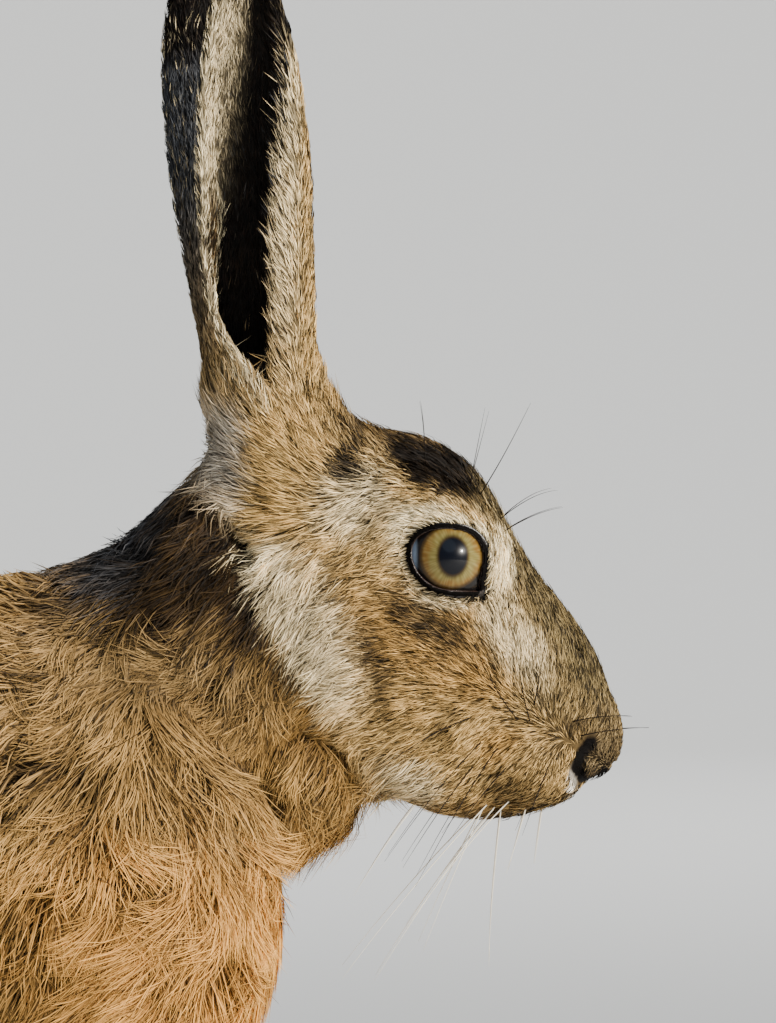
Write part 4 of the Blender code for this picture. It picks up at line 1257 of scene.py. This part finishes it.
def grow(name, vertices, normals, corners, weight, stations, slot, rng):
    """One piece of the coat: fine tapering tufts rooted in the skin, gathered in locks."""
    count = min(int(weight.sum()), MOST_TRIANGLES // (2 * len(stations) - 3))
    root, normal = scatter(vertices, normals, corners, weight, count, rng)
    points, way, length, width, shag, high, lock_high = comb(root, normal, stations, rng)
    tufts, faces = ribbons(points, normal, width, stations, rng)
    piece = add_mesh(name, tufts.reshape(-1, 3), faces, MATERIALS["coat"])
    set_colours(piece.data, tuft_colours(root, normal, stations, rng, way, length, shag, high, lock_high))
    lay_normals(piece.data, normal, tufts.shape[1])
    add_tuft_map(piece.data, root, faces, stations)
    return settle(piece, slot)


def lay_normals(mesh, normal, per_tuft):
    """Shades each tuft partly as the skin under it, as dense hair looks."""
    own = np.zeros(len(mesh.vertices) * 3, np.float32)
    mesh.vertices.foreach_get("normal", own)
    own = own.reshape(-1, 3)
    body = np.repeat(normal, per_tuft, axis=0)
    own *= np.sign((own * body).sum(axis=1, keepdims=True))
    mesh.normals_split_custom_set_from_vertices(unit(body * SKIN_SHARE + own * (1 - SKIN_SHARE)).tolist())


def add_tuft_map(mesh, root, faces, stations):
    """The OFBake map: round and along the piece's own long axis, with a small patch for each tuft."""
    middle = root.mean(axis=0)
    _, _, axes = np.linalg.svd(root[:: max(len(root) // 4000, 1)] - middle, full_matrices=False)
    along, u, v = ((root - middle) @ axis for axis in axes)
    place = np.stack([np.arctan2(v, u) / (2 * math.pi) + 0.5,
                      (along - along.min()) / max(np.ptp(along), 1e-6)], axis=1) * 0.99 + 0.003
    patch = []
    for s in stations:
        patch += [(0.5, s)] if s == 1 else [(0.0, s), (1.0, s)]
    places = (place[:, None] + np.array(patch) * PATCH).reshape(-1, 2)
    add_map(mesh, places[faces.ravel()])


MOST_TRIANGLES = 195000      # in one piece of the coat
MOST_CELLS = 8192            # for locks, along each axis
FLOOR_GAP = 0.3              # the least height of a hair over the floor
ROOT_SUNK = 0.25
PATCH = 0.003                # the part of the map that each tuft has
SKIN_SHARE = 0.4             # of the skin's shading in a hair's
# The way of the hair: across a parting, round the whorl, and on the ears' outside and front fringe.
PARTING_STEP = 0.3
WHORL_EDGE = (1.0, 8.0)
EAR_FRINGE = (3, 10)
EAR_BACK, FRINGE_BACK = 0.08, 0.75
LOCK_WANDER, LOCK_BEND = 1.6, 0.22
# A hair's length over its place's: the least, and what chance and its lock add.
LENGTH_SHARES, LENGTH_LIMITS = (0.78, 0.34, 0.10), (0.45, 1.35)
TOP_LIMITS = (0.12, 1.05)    # of a hair's height, in depths of the coat
ARCH, GATHER_CURVE = 2.2, 1.3          # how the height and the gathering grow along a hair
LEAST_HEIGHT, LEAST_STEEP, MOST_MOVE = 0.05, 0.3, 4
LIFTS, LIFTED_FREE, SHAG_FREE = (12, 20), 0.6, 0.45     # how free hairs are of the height over the skin
ROLL = 0.75                  # radians that ribbons roll
WIDTH_SHARES = (0.42, 0.16, 0.10)      # half a ribbon's width: at the foot, its swell and its taper
# The painting of hairs: how far ahead of the root it is taken, less on the ears, and how far it strays.
PAINT_AHEAD, EAR_LESS_AHEAD, EAR_LESS_AT = 0.75, 0.6, (318, 326)
PAINT_STRAY = 0.13
# Patches of dark tips and of lighter and darker hairs: size, seed and strength.
DARK_PATCHES = ((1.7, 51, 0.75), (5.5, 52, 0.35))
SHADE_PATCHES = ((12, 53, 0.22), (2, 54, 0.22))
SHADE_BY_CHANCE, SHADE_LIMITS = 0.34, (0.25, 1.9)
DARK_BAND_SHARE, DARK_BAND = 0.7, 0.22
# hair roots are painted at half their colour: painted shade deep in the coat
ROOT_SHADE = 0.5
BAND_RISE, TIP_FROM, TIP_RISE = (0, 0.5), 0.6, (0.5, 0.95)
DARK_TIP = linear(0.09, 0.07, 0.05)
# Where along a hair its points are, from root to tip.
SHORT_HAIR = (0, 0.55, 1)
LONG_HAIR = (0, 0.35, 0.7, 1)
# Lines that the hair turns away from, with the reach and strength of the turn.
PARTINGS = ((NOSTRIL_LINE, 2.6, 1.2), (LID_LINE, 3.0, 0.8))
STRAY_SHARE = 0.07           # of the hairs stand out of the coat
SHAG_LENGTHS = (6, 22)       # lengths of hair between which the coat turns from smooth to shaggy
# How disorderly the hairs are: a value where the coat is smooth, and what is added where it is shaggy. The
# last two are painted shade: how much darker hairs and locks are painted where they lie low in the coat.
DISORDER = {
    "sway": (0.12, 0.42), "loose": (0.14, -0.03), "lock_turn": (0.1, 0.1), "bend": (0.1, 0.06),
    "stray": (0.4, 0.25), "top": (0.62, -0.12), "top_hair": (0.3, 0.15), "top_lock": (0.16, 0.12),
    "painted_shade_by_lock": (0.14, 0.2), "painted_shade_by_height": (0.25, 0.35),
}
SKIN_OF_LIDS = 0.9           # how far the lids are bald, out from the opening


def zone_names(p):
    """The piece of coat that each place on the skin belongs to."""
    side = np.where(p[:, 1] > 0, "left", "right")
    inward = ear_surface(p)[1]
    names = np.full(len(p), "trunk_", dtype="U20")
    x, y, z = p[:, 0], np.abs(p[:, 1]), p[:, 2]
    names[x > 62] = "chest_"
    names[(x > 62) & (z > 226 - 0.4 * (x - 62))] = "neck_"
    names[(z < 118) & (x > 70)] = "foreleg_"
    names[(x < -20) & (y > 36)] = "haunch_"
    names[(z < 30) & (x < 60)] = "hindfoot_"
    names[x < -166] = "tail_"
    head = (over_edge(p) > -7) & (x > 118) & (z > 208)
    names[head] = "face_"
    names[head & (x < 166)] = "cheek_"
    names[head & (x > 186) & (z < 292)] = "muzzle_"
    ear = z > 323
    names[ear & (inward < 1.8)] = "ear_outer_"
    names[ear & (inward >= 1.8)] = "ear_inner_"
    return np.char.add(names, side)


LEAST_ZONE = 40              # triangles of skin


def make_coat(vertices, normals, quads):
    rng = np.random.default_rng(SEED)
    corners = np.concatenate([quads[:, [0, 1, 2]], quads[:, [0, 2, 3]]])
    a, b, c = (vertices[corners[:, k]] for k in range(3))
    middle = (a + b + c) / 3
    area = np.linalg.norm(np.cross(b - a, c - a), axis=1) / 2
    pair = folded(middle)
    q = pair - BALL
    lids = from_outline(q[:, 0], q[:, 2], LID_CURVE[::2])
    from_ball = np.linalg.norm(q, axis=1)
    bald = (np.abs(q[:, 1]) < 14) & (lids < SKIN_OF_LIDS) & (from_ball < 18)
    bald |= from_ball < BALL_RADIUS + 0.6
    bore = under_outline(NOSTRIL_LINE, 1.2)
    bald |= limb_distance(pair, bore, [NOSTRIL_BORE] * len(bore)) < 0.25
    hairs = np.where(bald, 0, area) * coat_values(middle)[:, 3]
    zones = zone_names(middle)
    for zone in sorted(set(zones)):
        here = (zones == zone) & (hairs > 0)
        if here.sum() < LEAST_ZONE:
            continue
        stations = LONG_HAIR if zone.split("_")[0] in ("neck", "chest") else SHORT_HAIR
        slot = "tail_coat" if zone.startswith("tail") else "coat"
        grow("coat_" + zone, vertices, normals, corners[here], hairs[here], stations, slot, rng)


CAMERA_DISTANCE = 3000.0     # from the middle of the hare
CAMERA_PLACE = (166.9, 291.2)
FRAME_HEIGHT = 250.6         # what the camera takes in at the hare, in mm
SENSOR = 36.0


def make_camera():
    data = bpy.data.cameras.new("camera")
    data.sensor_width = SENSOR
    data.sensor_height = SENSOR
    data.lens = SENSOR * CAMERA_DISTANCE / FRAME_HEIGHT
    data.clip_end = 100
    camera = add_object("camera", data)
    place = np.array([CAMERA_PLACE[0], -CAMERA_DISTANCE, CAMERA_PLACE[1]])
    camera.location = (place + SHIFT) * MM
    camera.rotation_euler = (math.pi / 2, 0, 0)
    bpy.context.scene.camera = camera


# Each light, in metres and watts: place, aim, size, power and colour.
HEAD = (0.15, 0, 0.26)
LIGHTS = {
    "key": ((2.0, -1.6, 1.3), HEAD, 0.28, 145, (1.0, 0.94, 0.84)),
    "sky": ((0.2, -1.9, 2.0), HEAD, 2.0, 9, (0.66, 0.82, 1.0)),
    "backdrop_light": ((0, 7.5, 7.0), (0, 11.0, 0), 5.0, 620, (1.0, 1.0, 1.0)),
}


def make_light(name, place, aim, size, power, colour):
    """A soft round light."""
    data = bpy.data.lights.new(name, "AREA")
    data.shape = "DISK"
    data.size = size
    data.energy = power
    data.color = colour
    light = add_object(name, data)
    light.location = place
    light.rotation_euler = (Vector(aim) - Vector(place)).to_track_quat("-Z", "Y").to_euler()


def make_stage():
    """A pale floor, in metres, that sweeps up far behind the hare."""
    front, back, rise, radius, half_width, steps = -18.0, 12.0, 6.0, 2.0, 18.0, 16
    turn = np.linspace(0, math.pi / 2, steps)
    profile = [(front, 0.0)] + [(back + radius * math.sin(a), radius - radius * math.cos(a)) for a in turn]
    profile.append((back + radius, rise))
    vertices = [(x, y, z) for x in (-half_width, half_width) for y, z in profile]
    count = len(profile)
    faces = [(k, count + k, count + k + 1, k + 1) for k in range(count - 1)]
    mesh = bpy.data.meshes.new("floor")
    mesh.from_pydata(vertices, [], faces)
    mesh.shade_smooth()
    material, _, shader = principled("floor", 0.9)
    shader.inputs["Base Color"].default_value = (0.80, 0.79, 0.76, 1)
    mesh.materials.append(material)
    add_object("floor", mesh)

    world = bpy.data.worlds.new("studio")
    world.use_nodes = True
    background = world.node_tree.nodes["Background"]
    background.inputs["Color"].default_value = (0.85, 0.92, 1.0, 1)
    background.inputs["Strength"].default_value = 0.38
    bpy.context.scene.world = world
    for light, settings in LIGHTS.items():
        make_light(light, *settings)


make_camera()
make_stage()
skin_vertices, skin_normals, skin_faces = make_skin()
whisker_rng = np.random.default_rng(SEED + 1)
for side_name, side in SIDES.items():
    make_eye("eye_" + side_name, side)
    make_lid("lids_" + side_name, side)
    for whiskers, (hairs, thick, colour) in WHISKERS.items():
        make_whiskers(f"{whiskers}_{side_name}", side, hairs, thick, colour, whisker_rng)
    for foot, places in (("forepaw", FORE_CLAWS), ("hindfoot", HIND_CLAWS)):
        claw_nodes = [f"{foot}_{side_name}_claw_{number}" for number in (1, 2, 3, 4)]
        make_claws(f"claws_{foot}_{side_name}", side, places, claw_nodes)
make_coat(skin_vertices, skin_normals, skin_faces)
